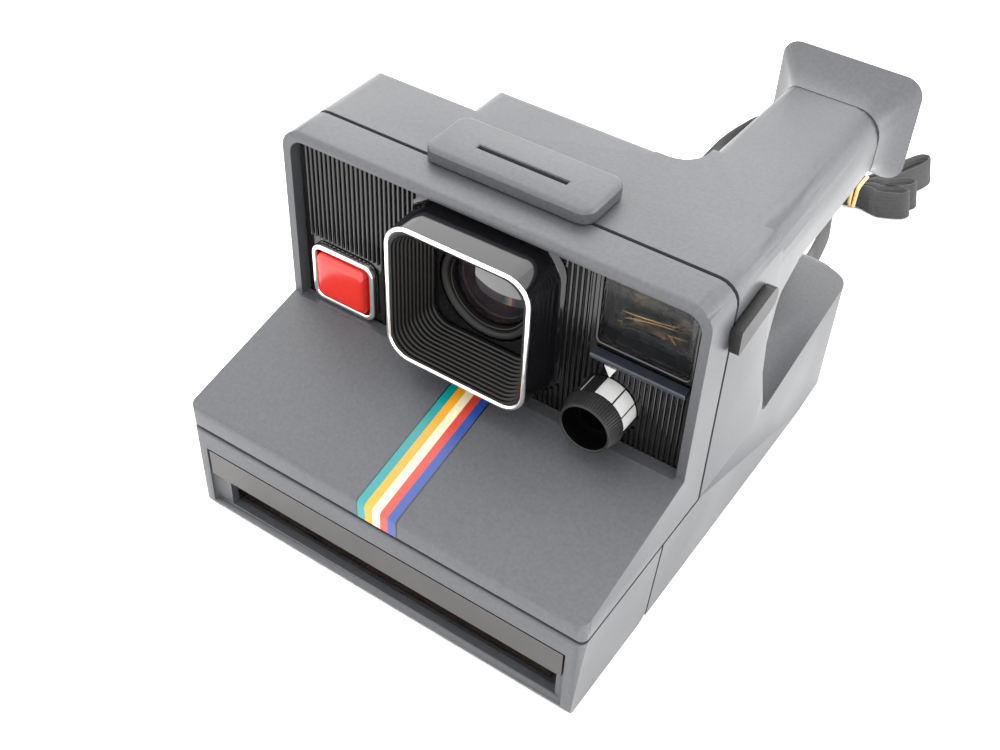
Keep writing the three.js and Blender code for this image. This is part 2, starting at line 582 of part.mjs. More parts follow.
function shutterBlade(direction, y) {
  const blade = prismY([[-1, 61], [9, 61, 2], [9, 75, 2], [-1, 75]], y, y + 0.5)
    .subtract(rodY(2.4, [0, 30], -2.2, LENS_Z, 16));
  return direction > 0 ? blade : blade.mirror([1, 0, 0]);
}

add('shutter_base', shutterBase(), finish.gloss);
add('shutter_blade_right', shutterBlade(1, SHUTTER_Y), finish.steel);
add('shutter_blade_left', shutterBlade(-1, SHUTTER_Y + 0.9), finish.steel);
add('shutter_solenoid', rodX(3.4, [-19, -12], SHUTTER_Y + 8, 74, 16), finish.brass);
add('circuit_board', block([-50, -24], [SHUTTER_Y + 3.4, SHUTTER_Y + 5], [40, 84]), finish.board);

const MIRROR_T = 1.6;
const mirrorStrip = prismX([[46, 82.6], [88.6, 39.5], [88.6 - MIRROR_T, 39.5 - MIRROR_T],
  [46 - MIRROR_T, 82.6 - MIRROR_T]], -40, 40);
const mirrorOutline = prismY([[-34.6, 30], [34.6, 30], [23, TOP_Z], [-23, TOP_Z]], 20, 98);
add('taking_mirror', mirrorStrip.intersect(mirrorOutline), finish.mirror);

function filmGate() {
  const plate = block([-45.8, 45.8], [8, 100], [24.5, 25.6]);
  return plate.subtract(block([-39.5, 39.5], [14, 93.5], [20, 30]));
}

add('film_gate', filmGate(), finish.rubber);

for (const [side, x] of [['right', 14], ['left', -14]]) {
  const leaf = prismX([[6, WALL + GAP], [22, WALL + GAP], [22, 3.0], [14, 3.5], [6, 3.0]], x - 2, x + 2);
  add(`battery_contact_${side}`, leaf, finish.brass);
}

const ARM_PLAN = [[-46.2, 64], [-44.9, 64], [-44.9, 98.5], [-43.9, 98.5], [-43.9, 99.6], [-46.2, 99.6]];
add('pick_arm', prismZ(ARM_PLAN, 19.6, 22.6), finish.steel);

// ---------------------------------------------------------------- frame counter and door latch
const COUNTER_SECTION = [[0, -33], [0.7, -33], [0.7, -32], [2.5, -32], [2.5, -20], [0.7, -20], [0.7, -19],
  [0, -19]];
add('frame_counter', turnedX(COUNTER_SECTION, 99.1, 30.4, 20), finish.white);
add('counter_window', block([-30.7, -21.3], [103, 104.2], [28.3, 32.7]), finish.glass);

function doorLatch() {
  const slider = block([-HALF_W - 1.2, -HALF_W], [2.6, 13], [14, 20]);
  return slider.add(block([-HALF_W - 0.2, -53.4], [5, 9], [15.4, 18.6]));
}

add('door_latch', doorLatch(), finish.rubber);

// ---------------------------------------------------------------- neck strap
const LUG_X = { right: 35.5, left: -20 };
const LUG_Y = [BASE_REAR + GAP, BASE_REAR + 6.1];

for (const side of ['right', 'left']) {
  const lug = prismX([[LUG_Y[0], 8, 0], [LUG_Y[1], 8, 1.4], [LUG_Y[1], 20.6, 1.4], [LUG_Y[0], 20.6, 0]],
    LUG_X[side] - 1.7, LUG_X[side] + 1.7);
  const slot = block([-60, 60], [LUG_Y[0] + 1.5, LUG_Y[1] - 2.1], [9.4, 19.2]);
  add(`strap_lug_${side}`, lug.subtract(slot), finish.shell);
}

// A strap standing on its edge along a plan route; its lower edge follows floorAt(y).
function ribbon(route, floorAt) {
  const knots = route.map(([x, y]) => new THREE.Vector3(x, y, 0));
  const curve = new THREE.CatmullRomCurve3(knots, false, 'centripetal');
  const steps = 8;
  const left = [];
  const right = [];
  for (let i = 0; i <= steps; i += 1) {
    const p = curve.getPoint(i / steps);
    const t = curve.getTangent(i / steps);
    left.push(new THREE.Vector2(p.x - (t.y * STRAP_T) / 2, p.y + (t.x * STRAP_T) / 2));
    right.unshift(new THREE.Vector2(p.x + (t.y * STRAP_T) / 2, p.y - (t.x * STRAP_T) / 2));
  }
  const strip = extrude(new THREE.Shape([...left, ...right]), STRAP_W);
  const at = strip.attributes.position;
  for (let i = 0; i < at.count; i += 1) {
    at.setZ(i, at.getZ(i) + floorAt(at.getY(i)));
  }
  return solidOf(strip);
}

// The strap drops from the lug to the ground over the first stretch.
const HANK_FLOOR = 0.4;
const LUG_FLOOR = 10.1;
function strapFloor(y) {
  const t = THREE.MathUtils.clamp((y - LUG_Y[1]) / 34, 0, 1);
  return LUG_FLOOR + (HANK_FLOOR - LUG_FLOOR) * t * t * (3 - 2 * t);
}

const RIGHT_RUN = [[35.5, 111.7], [33.6, 122], [31, 136], [28.9, 150], [27, 163], [25.6, 173], [25.2, 180.5]];
const LEFT_RUN = [[-20, 111.7], [-20.2, 124], [-20.8, 140], [-21.4, 156], [-21.9, 170], [-21.9, 180],
  [-19.8, 188.6]];
add('neck_strap_right', ribbon(RIGHT_RUN, strapFloor), finish.strap);
add('neck_strap_left', ribbon(LEFT_RUN, strapFloor), finish.strap);

// The folded middle of the strap, as one block: wide loops to the right of the tie, short ones to the left.
const HANK_PLAN = [[-18, 182.2, 4], [22, 181.6, 3], [44, 184, 4], [46, 205, 6], [40, 220, 4], [28, 214, 6],
  [-18, 206, 5]];
add('neck_strap_hank', prismZ(HANK_PLAN, HANK_FLOOR, HANK_FLOOR + STRAP_W + 0.6), finish.strap);

export default root;
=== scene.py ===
"""Looks of a box-type instant camera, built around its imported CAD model.

Sizes are in millimetres here and are scaled to metres when a mesh is made. x = 0 is the middle
of the body, y = 0 the front of the face frame (+Y to the rear), z = 0 the base it stands on.
"""
import math

import bmesh
import bpy
from mathutils import Matrix, Vector
from mathutils.bvhtree import BVHTree


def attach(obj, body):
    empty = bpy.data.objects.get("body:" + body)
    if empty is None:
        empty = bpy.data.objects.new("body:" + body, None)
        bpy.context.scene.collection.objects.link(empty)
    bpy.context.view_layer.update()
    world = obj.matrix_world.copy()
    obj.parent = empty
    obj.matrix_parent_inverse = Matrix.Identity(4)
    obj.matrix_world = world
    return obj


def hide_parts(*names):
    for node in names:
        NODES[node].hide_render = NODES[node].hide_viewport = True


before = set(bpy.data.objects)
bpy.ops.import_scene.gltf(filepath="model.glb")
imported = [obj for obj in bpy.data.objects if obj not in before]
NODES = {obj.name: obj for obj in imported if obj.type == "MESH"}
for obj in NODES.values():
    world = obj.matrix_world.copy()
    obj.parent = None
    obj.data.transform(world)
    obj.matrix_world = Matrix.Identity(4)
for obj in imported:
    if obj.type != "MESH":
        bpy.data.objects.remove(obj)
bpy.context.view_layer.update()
MM = 0.001

# ---------------------------------------------------------------- driving dimensions
LENS_Z = 68.0                 # height of the lens axis, at x = 0
PLATE_Y = 3.0                 # front of the face plate
RIM_Y = -9.6                  # front of the lens hood
DIAL_X, DIAL_Z = 33.8, 53.1
BUTTON_X, BUTTON_Z = -40.9, 52.2
SHELF_FRONT, SHELF_LIP_Z, SHELF_REAR_Z = -40.1, 34.0, 43.6
COVER_FOOT = 28.2
TUBE_REAR, EYECUP_REAR = 90.0, 101.5
CHANNEL_Z = 83.4              # middle of the viewfinder channel
STRAP_W, STRAP_T = 8.5, 0.9
HANK_FLOOR, LUG_FLOOR = 0.6, 10.1     # lower edge of the strap in the hank and at the lugs
LUG_BAR_Y, LUG_END, STRAP_FROM_Y = 109.9, 110.6, 112.2
RIGHT_LUG_X, LEFT_LUG_X = 35.5, -20.0
FACE_FOOT, FACE_TOP = 43.4, 88.7      # the ribbed face, from its foot to its top


# ---------------------------------------------------------------- materials
def new_material(name, color, roughness, metallic=0.0, **sockets):
    material = bpy.data.materials.new(name)
    material.use_nodes = True
    shader = material.node_tree.nodes["Principled BSDF"]
    shader.inputs["Base Color"].default_value = (*color, 1.0)
    shader.inputs["Roughness"].default_value = roughness
    shader.inputs["Metallic"].default_value = metallic
    for socket, value in sockets.items():
        shader.inputs[socket.replace("_", " ")].default_value = value
    return material, material.node_tree, shader


def noise(tree, pitch_mm, detail=2.0, stretch=None):
    """A noise whose features are about pitch_mm across, in the piece's own coordinates."""
    place = tree.nodes.new("ShaderNodeTexCoord")
    source = place.outputs["Object"]
    if stretch:
        mapping = tree.nodes.new("ShaderNodeMapping")
        mapping.inputs["Scale"].default_value = stretch
        tree.links.new(source, mapping.inputs["Vector"])
        source = mapping.outputs["Vector"]
    texture = tree.nodes.new("ShaderNodeTexNoise")
    texture.inputs["Scale"].default_value = 1.0 / (pitch_mm * MM)
    texture.inputs["Detail"].default_value = detail
    tree.links.new(source, texture.inputs["Vector"])
    return texture.outputs["Fac"]


def spread_to(tree, factor, low, high, socket):
    """Sends a noise to a number socket, as values from low to high."""
    span = tree.nodes.new("ShaderNodeMapRange")
    span.inputs["From Min"].default_value = 0.3
    span.inputs["From Max"].default_value = 0.7
    span.inputs["To Min"].default_value = low
    span.inputs["To Max"].default_value = high
    tree.links.new(factor, span.inputs["Value"])
    tree.links.new(span.outputs["Result"], socket)


def shade_to(tree, factor, dark, light, socket):
    """Sends a noise to a colour socket, as colours from dark to light."""
    ramp = tree.nodes.new("ShaderNodeValToRGB")
    ramp.color_ramp.elements[0].position = 0.3
    ramp.color_ramp.elements[0].color = (*dark, 1.0)
    ramp.color_ramp.elements[1].position = 0.7
    ramp.color_ramp.elements[1].color = (*light, 1.0)
    tree.links.new(factor, ramp.inputs["Fac"])
    tree.links.new(ramp.outputs["Color"], socket)


def bump(tree, shader, factor, depth_mm, strength=1.0, under=None):
    node = tree.nodes.new("ShaderNodeBump")
    node.inputs["Strength"].default_value = strength
    node.inputs["Distance"].default_value = depth_mm * MM
    tree.links.new(factor, node.inputs["Height"])
    if under:
        tree.links.new(under, node.inputs["Normal"])
    tree.links.new(node.outputs["Normal"], shader.inputs["Normal"])
    return node.outputs["Normal"]


def plastic(name, color, roughness, grain_mm=0.45, depth_mm=0.02, rough_spread=0.04, tone=0.18,
            metallic=0.0, drift_mm=0.9, **sockets):
    """Moulded plastic or metal: a fine grain, flecks of tone drift_mm across, slightly uneven gloss."""
    material, tree, shader = new_material(name, color, roughness, metallic, **sockets)
    dark = [c * (1 - tone) for c in color]
    light = [c * (1 + tone) for c in color]
    shade_to(tree, noise(tree, drift_mm, 3.0), dark, light, shader.inputs["Base Color"])
    smoothest = max(0.02, roughness - rough_spread)
    spread_to(tree, noise(tree, 30.0, 1.0), smoothest, roughness + rough_spread, shader.inputs["Roughness"])
    bump(tree, shader, noise(tree, grain_mm, 2.0), depth_mm)
    return material


SHELL = plastic("shell_charcoal", (0.040, 0.0415, 0.046), 0.42, grain_mm=0.42, depth_mm=0.022, tone=0.14)
FACE = plastic("face_black", (0.0035, 0.0034, 0.0034), 0.10, grain_mm=6.0, depth_mm=0.002, tone=0.2,
               rough_spread=0.02)
GLOSS = plastic("gloss_black", (0.0035, 0.0036, 0.0045), 0.07, grain_mm=2.4, depth_mm=0.003, tone=0.2,
                rough_spread=0.02)
FUNNEL = plastic("funnel_black", (0.004, 0.0034, 0.003), 0.38, grain_mm=0.8, depth_mm=0.006, tone=0.2,
                 Specular_IOR_Level=0.22)
VISOR = plastic("visor_black", (0.010, 0.012, 0.018), 0.30, grain_mm=0.8, depth_mm=0.006, tone=0.2)
STRIP = plastic("strip_brown_black", (0.010, 0.007, 0.006), 0.08, grain_mm=7.0, depth_mm=0.012, tone=0.4,
                drift_mm=8.0, rough_spread=0.03)
CHROME = plastic("chrome_trim", (0.86, 0.86, 0.85), 0.13, grain_mm=1.2, depth_mm=0.003, tone=0.04,
                 metallic=1.0)
RED = plastic("button_red", (0.38, 0.012, 0.006), 0.2, grain_mm=1.8, depth_mm=0.004, tone=0.07)
WHITE = plastic("scale_white", (0.40, 0.40, 0.395), 0.38, grain_mm=0.6, depth_mm=0.006, tone=0.05)
MATTE_BLACK = plastic("matte_black", (0.006, 0.006, 0.0065), 0.45, grain_mm=0.4, depth_mm=0.02,
                      Specular_IOR_Level=0.3)
# Near black with no gloss: painted shade for the walls inside the dial's bore.
BORE_SHADE_BLACK = plastic("painted_bore_shade", (0.0015, 0.0015, 0.0015), 0.8, grain_mm=0.5, depth_mm=0.02,
                     Specular_IOR_Level=0.0)
STEEL = plastic("brushed_steel", (0.53, 0.54, 0.55), 0.3, grain_mm=0.3, depth_mm=0.006, tone=0.06,
                metallic=1.0)
ACETAL = plastic("acetal_gear", (0.62, 0.59, 0.5), 0.45, grain_mm=0.8, depth_mm=0.008, tone=0.06)
BRASS = plastic("brass", (0.62, 0.43, 0.16), 0.28, grain_mm=0.5, depth_mm=0.006, tone=0.08, metallic=1.0)
BOARD = plastic("circuit_laminate", (0.02, 0.13, 0.055), 0.4, grain_mm=1.0, depth_mm=0.01, tone=0.2)
MIRROR = plastic("front_silvered", (0.84, 0.86, 0.88), 0.04, grain_mm=8.0, depth_mm=0.001, tone=0.02,
                 metallic=1.0)
BAND = plastic("rubber_band", (0.60, 0.40, 0.16), 0.5, grain_mm=0.5, depth_mm=0.03, tone=0.14)


def clear_plastic(name, tint, roughness):
    """Clear moulded acrylic."""
    material, tree, shader = new_material(name, tint, roughness, 0.0, Transmission_Weight=1.0, IOR=1.49)
    shade_to(tree, noise(tree, 7.0, 1.0), [c * 0.97 for c in tint], tint, shader.inputs["Base Color"])
    return material


def finder_glass():
    """The flat window: mostly see-through, with a faint reflection of the room."""
    material, tree, shader = new_material("finder_glass", (0.010, 0.011, 0.012), 0.02, 0.0, Alpha=0.2,
                                          Specular_IOR_Level=0.6, Coat_Weight=0.3, Coat_Roughness=0.02)
    dark, light = (0.008, 0.009, 0.010), (0.012, 0.013, 0.014)
    shade_to(tree, noise(tree, 6.0, 1.0), dark, light, shader.inputs["Base Color"])
    return material


def coated_lens():
    """A dark lens: the light goes in and stays in, and the coating gives its reflections."""
    material, tree, shader = new_material("coated_lens", (0.006, 0.006, 0.008), 0.02, 0.0,
                                          Coat_Weight=1.0, Coat_Roughness=0.015, IOR=1.6)
    dark, light = (0.004, 0.004, 0.007), (0.016, 0.009, 0.010)
    shade_to(tree, noise(tree, 5.0, 2.0), dark, light, shader.inputs["Base Color"])
    return material


WEAVE_PITCH = 0.9


def woven(name, color):
    """Flat nylon webbing: ribs across the strap over a fine fibre."""
    material, tree, shader = new_material(name, color, 0.7, 0.0, Sheen_Weight=0.12, Sheen_Roughness=0.4)
    shade_to(tree, noise(tree, 1.1, 4.0), [c * 0.6 for c in color], [c * 1.7 for c in color],
             shader.inputs["Base Color"])
    place = tree.nodes.new("ShaderNodeTexCoord")
    wave = tree.nodes.new("ShaderNodeTexWave")
    wave.bands_direction = "Z"
    wave.inputs["Scale"].default_value = 1.0 / (WEAVE_PITCH * MM) / (2 * math.pi) * 2
    wave.inputs["Distortion"].default_value = 1.5
    tree.links.new(place.outputs["Object"], wave.inputs["Vector"])
    ribs = bump(tree, shader, wave.outputs["Fac"], 0.12, 0.7)
    bump(tree, shader, noise(tree, 0.35, 3.0), 0.06, 0.8, under=ribs)
    return material


CLEAR = clear_plastic("clear_window", (0.93, 0.95, 0.95), 0.0)
LENS = coated_lens()
FINDER = finder_glass()
NYLON = woven("strap_nylon", (0.006, 0.006, 0.0068))


# ---------------------------------------------------------------- camera, floor and light
CAMERA_ANGLES = (32.522, 42.985, 2.652)       # azimuth, elevation and roll in degrees
CAMERA_AIM, CAMERA_DISTANCE = (-2.805, 14.744, 32.141), 330.743
CAMERA_LENS = 47.543


def place_camera():
    azimuth, elevation, roll = (math.radians(angle) for angle in CAMERA_ANGLES)
    back = Vector((math.sin(azimuth) * math.cos(elevation), -math.cos(azimuth) * math.cos(elevation),
                   math.sin(elevation)))
    level = Vector((math.cos(azimuth), math.sin(azimuth), 0.0))
    rise = back.cross(level)
    right = math.cos(roll) * level + math.sin(roll) * rise
    up = -math.sin(roll) * level + math.cos(roll) * rise
    where = (Vector(CAMERA_AIM) + back * CAMERA_DISTANCE) * MM
    data = bpy.data.cameras.new("camera")
    data.sensor_width = 36.0
    data.lens = CAMERA_LENS
    data.clip_start = 0.01
    camera = bpy.data.objects.new("camera", data)
    camera.matrix_world = Matrix((
        (right.x, up.x, back.x, where.x), (right.y, up.y, back.y, where.y),
        (right.z, up.z, back.z, where.z), (0, 0, 0, 1)))
    bpy.context.scene.collection.objects.link(camera)
    bpy.context.scene.camera = camera


def soft_light(name, place, aim, size, watts):
    """A rectangular light, in metres, that faces aim."""
    data = bpy.data.lights.new(name, "AREA")
    data.shape = "RECTANGLE"
    data.size, data.size_y = size
    data.energy = watts
    light = bpy.data.objects.new(name, data)
    light.location = place
    light.rotation_euler = (Vector(place) - Vector(aim)).to_track_quat("Z", "Y").to_euler()
    bpy.context.scene.collection.objects.link(light)


def place_stage():
    half = 4.0
    corners = [(-half, -half, 0), (half, -half, 0), (half, half, 0), (-half, half, 0)]
    mesh = bpy.data.meshes.new("floor")
    mesh.from_pydata(corners, [], [(0, 1, 2, 3)])
    floor = bpy.data.objects.new("floor", mesh)
    bpy.context.scene.collection.objects.link(floor)
    material, tree, shader = new_material("pale_floor", (0.9, 0.9, 0.9), 0.6)
    dark, light = (0.89, 0.89, 0.89), (0.91, 0.91, 0.91)
    shade_to(tree, noise(tree, 60.0, 3.0), dark, light, shader.inputs["Base Color"])
    mesh.materials.append(material)
    world = bpy.data.worlds.new("studio")
    world.use_nodes = True
    world.node_tree.nodes["Background"].inputs["Color"].default_value = (1.0, 1.0, 1.0, 1.0)
    world.node_tree.nodes["Background"].inputs["Strength"].default_value = 3.3
    bpy.context.scene.world = world
    soft_light("ceiling", (-0.45, 1.0, 1.25), (0, 0.05, 0.03), (1.7, 1.3), 8)
    soft_light("right_wall", (1.1, 0.35, 0.32), (0.05, 0.05, 0.05), (1.3, 0.5), 8)
    bpy.context.scene.view_settings.view_transform = "Standard"


place_camera()
place_stage()


# ---------------------------------------------------------------- mesh helpers
def add_piece(name, verts, faces, materials, body, slot, smooth=True, sharp_deg=35.0, picks=None):
    """A mesh piece from points in millimetres. picks gives each face's material number."""
    mesh = bpy.data.meshes.new(name)
    mesh.from_pydata([Vector(v) * MM for v in verts], [], faces)
    return finish_piece(name, mesh, materials, body, smooth, sharp_deg, picks)


def finish_piece(name, mesh, materials, body, smooth=True, sharp_deg=35.0, picks=None):
    bm = bmesh.new()
    bm.from_mesh(mesh)
    if picks:
        bm.faces.ensure_lookup_table()
        for face, pick in zip(bm.faces, picks):
            face.material_index = pick
    bmesh.ops.recalc_face_normals(bm, faces=bm.faces)
    bm.to_mesh(mesh)
    bm.free()
    for material in materials if isinstance(materials, (list, tuple)) else [materials]:
        mesh.materials.append(material)
    if smooth:
        mesh.shade_smooth()
        mesh.set_sharp_from_angle(angle=math.radians(sharp_deg))
    piece = bpy.data.objects.new(name, mesh)
    bpy.context.scene.collection.objects.link(piece)
    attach(piece, body)
    return piece


def rounded_rect(cx, cz, half_x, half_z, radius, steps=8):
    """Points (x, z) round a rectangle with round corners, the same number for any size."""
    points = []
    for sx, sz, start in ((1, 1, 0), (-1, 1, 90), (-1, -1, 180), (1, -1, 270)):
        for k in range(steps + 1):
            a = math.radians(start + 90 * k / steps)
            points.append((cx + sx * (half_x - radius) + radius * math.cos(a),
                           cz + sz * (half_z - radius) + radius * math.sin(a)))
    return points


def circle(cx, cz, radius, count=64):
    return [(cx + radius * math.cos(2 * math.pi * k / count), cz + radius * math.sin(2 * math.pi * k / count))
            for k in range(count)]


def loft_y(rings, closed=False):
    """Skins rings [(points, y), ...] along Y. closed joins the last ring to the first, else the ends
    are capped."""
    count = len(rings[0][0])
    verts = [(x, y, z) for points, y in rings for x, z in points]
    faces = []
    last = len(rings) if closed else len(rings) - 1
    for i in range(last):
        a, b = i * count, ((i + 1) % len(rings)) * count
        for k in range(count):
            m = (k + 1) % count
            faces.append((a + k, a + m, b + m, b + k))
    if not closed:
        faces.append(tuple(range(count)))
        faces.append(tuple(range((len(rings) - 1) * count, len(rings) * count)))
    return verts, faces


def turned_y(profile, cx, cz, count=64, closed=True):
    """A turned piece about an axis along Y, from [radius, y] pairs round its section."""
    return loft_y([(circle(cx, cz, r, count), y) for r, y in profile], closed=closed)


def join(parts):
    """Several (verts, faces) as one."""
    verts, faces = [], []
    for part_verts, part_faces in parts:
        base = len(verts)
        verts += part_verts
        faces += [tuple(base + i for i in face) for face in part_faces]
    return verts, faces


# ---------------------------------------------------------------- neck strap: a flat cord folded into a hank
def catmull(points, per_span):
    """Points along a centripetal Catmull-Rom curve through the given plan points."""
    pts = [Vector(p) for p in points]
    pts = [pts[0] * 2 - pts[1]] + pts + [pts[-1] * 2 - pts[-2]]
    out = []
    for i in range(1, len(pts) - 2):
        p = pts[i - 1:i + 3]
        t = [0.0]
        for a, b in zip(p, p[1:]):
            t.append(t[-1] + max((b - a).length, 1e-6) ** 0.5)
        for k in range(per_span):
            s = t[1] + (t[2] - t[1]) * k / per_span
            a1 = p[0] * ((t[1] - s) / (t[1] - t[0])) + p[1] * ((s - t[0]) / (t[1] - t[0]))
            a2 = p[1] * ((t[2] - s) / (t[2] - t[1])) + p[2] * ((s - t[1]) / (t[2] - t[1]))
            a3 = p[2] * ((t[3] - s) / (t[3] - t[2])) + p[3] * ((s - t[2]) / (t[3] - t[2]))
            b1 = a1 * ((t[2] - s) / (t[2] - t[0])) + a2 * ((s - t[0]) / (t[2] - t[0]))
            b2 = a2 * ((t[3] - s) / (t[3] - t[1])) + a3 * ((s - t[1]) / (t[3] - t[1]))
            out.append(b1 * ((t[2] - s) / (t[2] - t[1])) + b2 * ((s - t[1]) / (t[2] - t[1])))
    out.append(pts[-2])
    return out


BAND_X, BAND_Y0, LAYER = 26.5, 182.4, 1.25    # the tie, the first layer there, the layers' pitch
RIGHT_LOOPS = [(43.0, 191.2), (42.8, 198.2), (40.8, 215.6)]
LEFT_LOOPS = [(-15.0, 189.6), (-15.4, 199.4)]
RIGHT_STRAND = [(33.6, 122), (31, 136), (28.9, 150), (26.6, 163), (24.0, 173), (23.0, 179.4)]
LEFT_STRAND = [(14, 198.5), (2, 205.6), (-10, 206.6), (-17.4, 202), (-20.2, 193), (-21.9, 181), (-21.9, 170),
               (-21.4, 156), (-20.8, 140), (-20.2, 124)]
LAYERS = 2 * len(RIGHT_LOOPS)
LOOP_HALF = 1.75
LEAN = math.radians(46)
LEAN_BACKWARD = Vector((-0.54, 0.84))


def fan_loop(tip, out_y, back_y, side):
    """Plan points of one loop beyond the tie, out on one layer and back on the next."""
    tip_v = Vector(tip)
    root = Vector((BAND_X + side * 3.0, (out_y + back_y) / 2))
    along = (tip_v - root).normalized()
    across = Vector((-along.y, along.x)) * side
    near, far = root + along * 6.0, tip_v - along * LOOP_HALF
    return [near - across * LOOP_HALF, far - across * LOOP_HALF, tip_v, far + across * LOOP_HALF,
            near + across * LOOP_HALF]


def strap_plan():
    """Plan points of the whole strap, from the right lug through the hank to the left lug."""
    plan = [(RIGHT_LUG_X, STRAP_FROM_Y)] + RIGHT_STRAND
    layers = [BAND_Y0 + LAYER * k for k in range(LAYERS)]
    for i, right in enumerate(RIGHT_LOOPS):
        out_y, back_y = layers[2 * i], layers[2 * i + 1]
        loop = [tuple(p) for p in fan_loop(right, out_y, back_y, 1)]
        plan += [(BAND_X, out_y)] + loop + [(BAND_X, back_y)]
        if i < len(LEFT_LOOPS):
            plan += [tuple(p) for p in fan_loop(LEFT_LOOPS[i], back_y, layers[2 * i + 2], -1)]
    return plan + LEFT_STRAND + [(LEFT_LUG_X, STRAP_FROM_Y)]


def smooth_rise(low, high, value):
    """0 up to low, 1 from high on, with a smooth step between."""
    t = min(max((value - low) / (high - low), 0.0), 1.0)
    return t * t * (3 - 2 * t)


def strap_floor(y):
    """Height of the strap's lower edge: it comes down from the lugs to the floor."""
    return LUG_FLOOR + (HANK_FLOOR - LUG_FLOOR) * smooth_rise(LUG_END, LUG_END + 34.0, y)


def build_strap():
    """The ribbon stands on its edge. The loops beyond the tie and the right strand lean back by LEAN."""
    line = catmull(strap_plan(), 10)
    edge = 0.3
    section = [(-1, edge), (-0.55, 0), (0.55, 0), (1, edge), (1, STRAP_W - edge), (0.55, STRAP_W),
               (-0.55, STRAP_W), (-1, STRAP_W - edge)]
    right_strand_end = 10 * len(RIGHT_STRAND)
    verts, faces, path = [], [], []
    for i, p in enumerate(line):
        a, b = line[max(i - 1, 0)], line[min(i + 1, len(line) - 1)]
        run = (b - a).normalized()
        side = Vector((-run.y, run.x)) * (STRAP_T / 2)
        low = strap_floor(p.y)
        lean = LEAN * smooth_rise(BAND_X + 2, BAND_X + 9, p.x) * (p.y > 180)
        if i < right_strand_end and p.y < 180:
            lean = LEAN * smooth_rise(116, 134, p.y) * (1 - smooth_rise(160, 176, p.y))
        for s, h in section:
            shift = LEAN_BACKWARD * math.sin(lean) * (h - STRAP_W / 2)
            verts.append((p.x + side.x * s + shift.x, p.y + side.y * s + shift.y, low + h * math.cos(lean)))
        path.append(Vector((p.x, p.y, low + STRAP_W / 2 * math.cos(lean))) * MM)
    ring = len(section)
    for i in range(len(line) - 1):
        for k in range(ring):
            m = (k + 1) % ring
            faces.append((i * ring + k, i * ring + m, (i + 1) * ring + m, (i + 1) * ring + k))
    faces.append(tuple(range(ring)))
    faces.append(tuple(range((len(line) - 1) * ring, len(line) * ring)))
    strap = add_piece("neck_strap", verts, faces, NYLON, "camera_body", "strap", sharp_deg=50)
    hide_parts("neck_strap_right", "neck_strap_left", "neck_strap_hank")
    length = sum((b - a).length for a, b in zip(path, path[1:]))
    return strap, path, length


def build_band():
    """Three turns of a rubber band round the folded strap."""
    parts = []
    depth = LAYER * (LAYERS - 1) / 2 + STRAP_T / 2 + 0.5
    mid_y = BAND_Y0 + LAYER * (LAYERS - 1) / 2
    for turn, (x, lean) in enumerate(((24.7, 0.5), (26.3, -0.4), (27.9, 0.3))):
        section = [(0.65 * math.cos(a), 0.42 * math.sin(a)) for a in (2 * math.pi * k / 8 for k in range(8))]
        outline = rounded_rect(mid_y, HANK_FLOOR + STRAP_W / 2, depth, STRAP_W / 2 + 0.15, 1.6, 5)
        verts, faces = [], []
        for k, (y, z) in enumerate(outline):
            out = Vector((y - mid_y, z - HANK_FLOOR - STRAP_W / 2)).normalized()
            drift = lean * math.sin(2 * math.pi * k / len(outline))
            for u, v in section:
                verts.append((x + drift + u, y + out.x * v, max(z + out.y * v, 0.05)))
        count, ring = len(outline), len(section)
        for i in range(count):
            j = (i + 1) % count
            for k in range(ring):
                m = (k + 1) % ring
                faces.append((i * ring + k, i * ring + m, j * ring + m, j * ring + k))
        parts.append((verts, faces))
    return add_piece("rubber_band", *join(parts), BAND, "camera_body", "strap", sharp_deg=80)


def build_lug_loop(name, x):
    """The sewn end of the strap, passed through the lug's slot and round its bar."""
    outline = rounded_rect(x, LUG_BAR_Y, 2.75, 2.9, 2.4, 6)
    low, high = LUG_FLOOR + 0.1, LUG_FLOOR + STRAP_W - 0.1
    verts, faces = [], []
    for px, py in outline:
        out = Vector((px - x, py - LUG_BAR_Y)).normalized() * (STRAP_T / 2)
        verts += [(px - out.x, py - out.y, low), (px + out.x, py + out.y, low),
                  (px + out.x, py + out.y, high), (px - out.x, py - out.y, high)]
    count = len(outline)
    for i in range(count):
        j = (i + 1) % count
        for k in range(4):
            m = (k + 1) % 4
            faces.append((i * 4 + k, i * 4 + m, j * 4 + m, j * 4 + k))
    return add_piece(name, verts, faces, NYLON, "camera_body", "strap", sharp_deg=60)


strap, strap_path, strap_length = build_strap()
strap_pieces = [build_band(), build_lug_loop("strap_loop_right", RIGHT_LUG_X),
                build_lug_loop("strap_loop_left", LEFT_LUG_X)]


# ---------------------------------------------------------------- moulded shells with soft edges
def outward(edge, tree):
    """True where an edge is on the outside: nothing stands in front of it along its own normal."""
    middle = (edge.verts[0].co + edge.verts[1].co) / 2
    normal = sum((face.normal for face in edge.link_faces), Vector())
    if normal.length < 1e-6:
        return False
    return tree.ray_cast(middle + normal.normalized() * 0.00004, normal.normalized(), 0.3)[0] is None


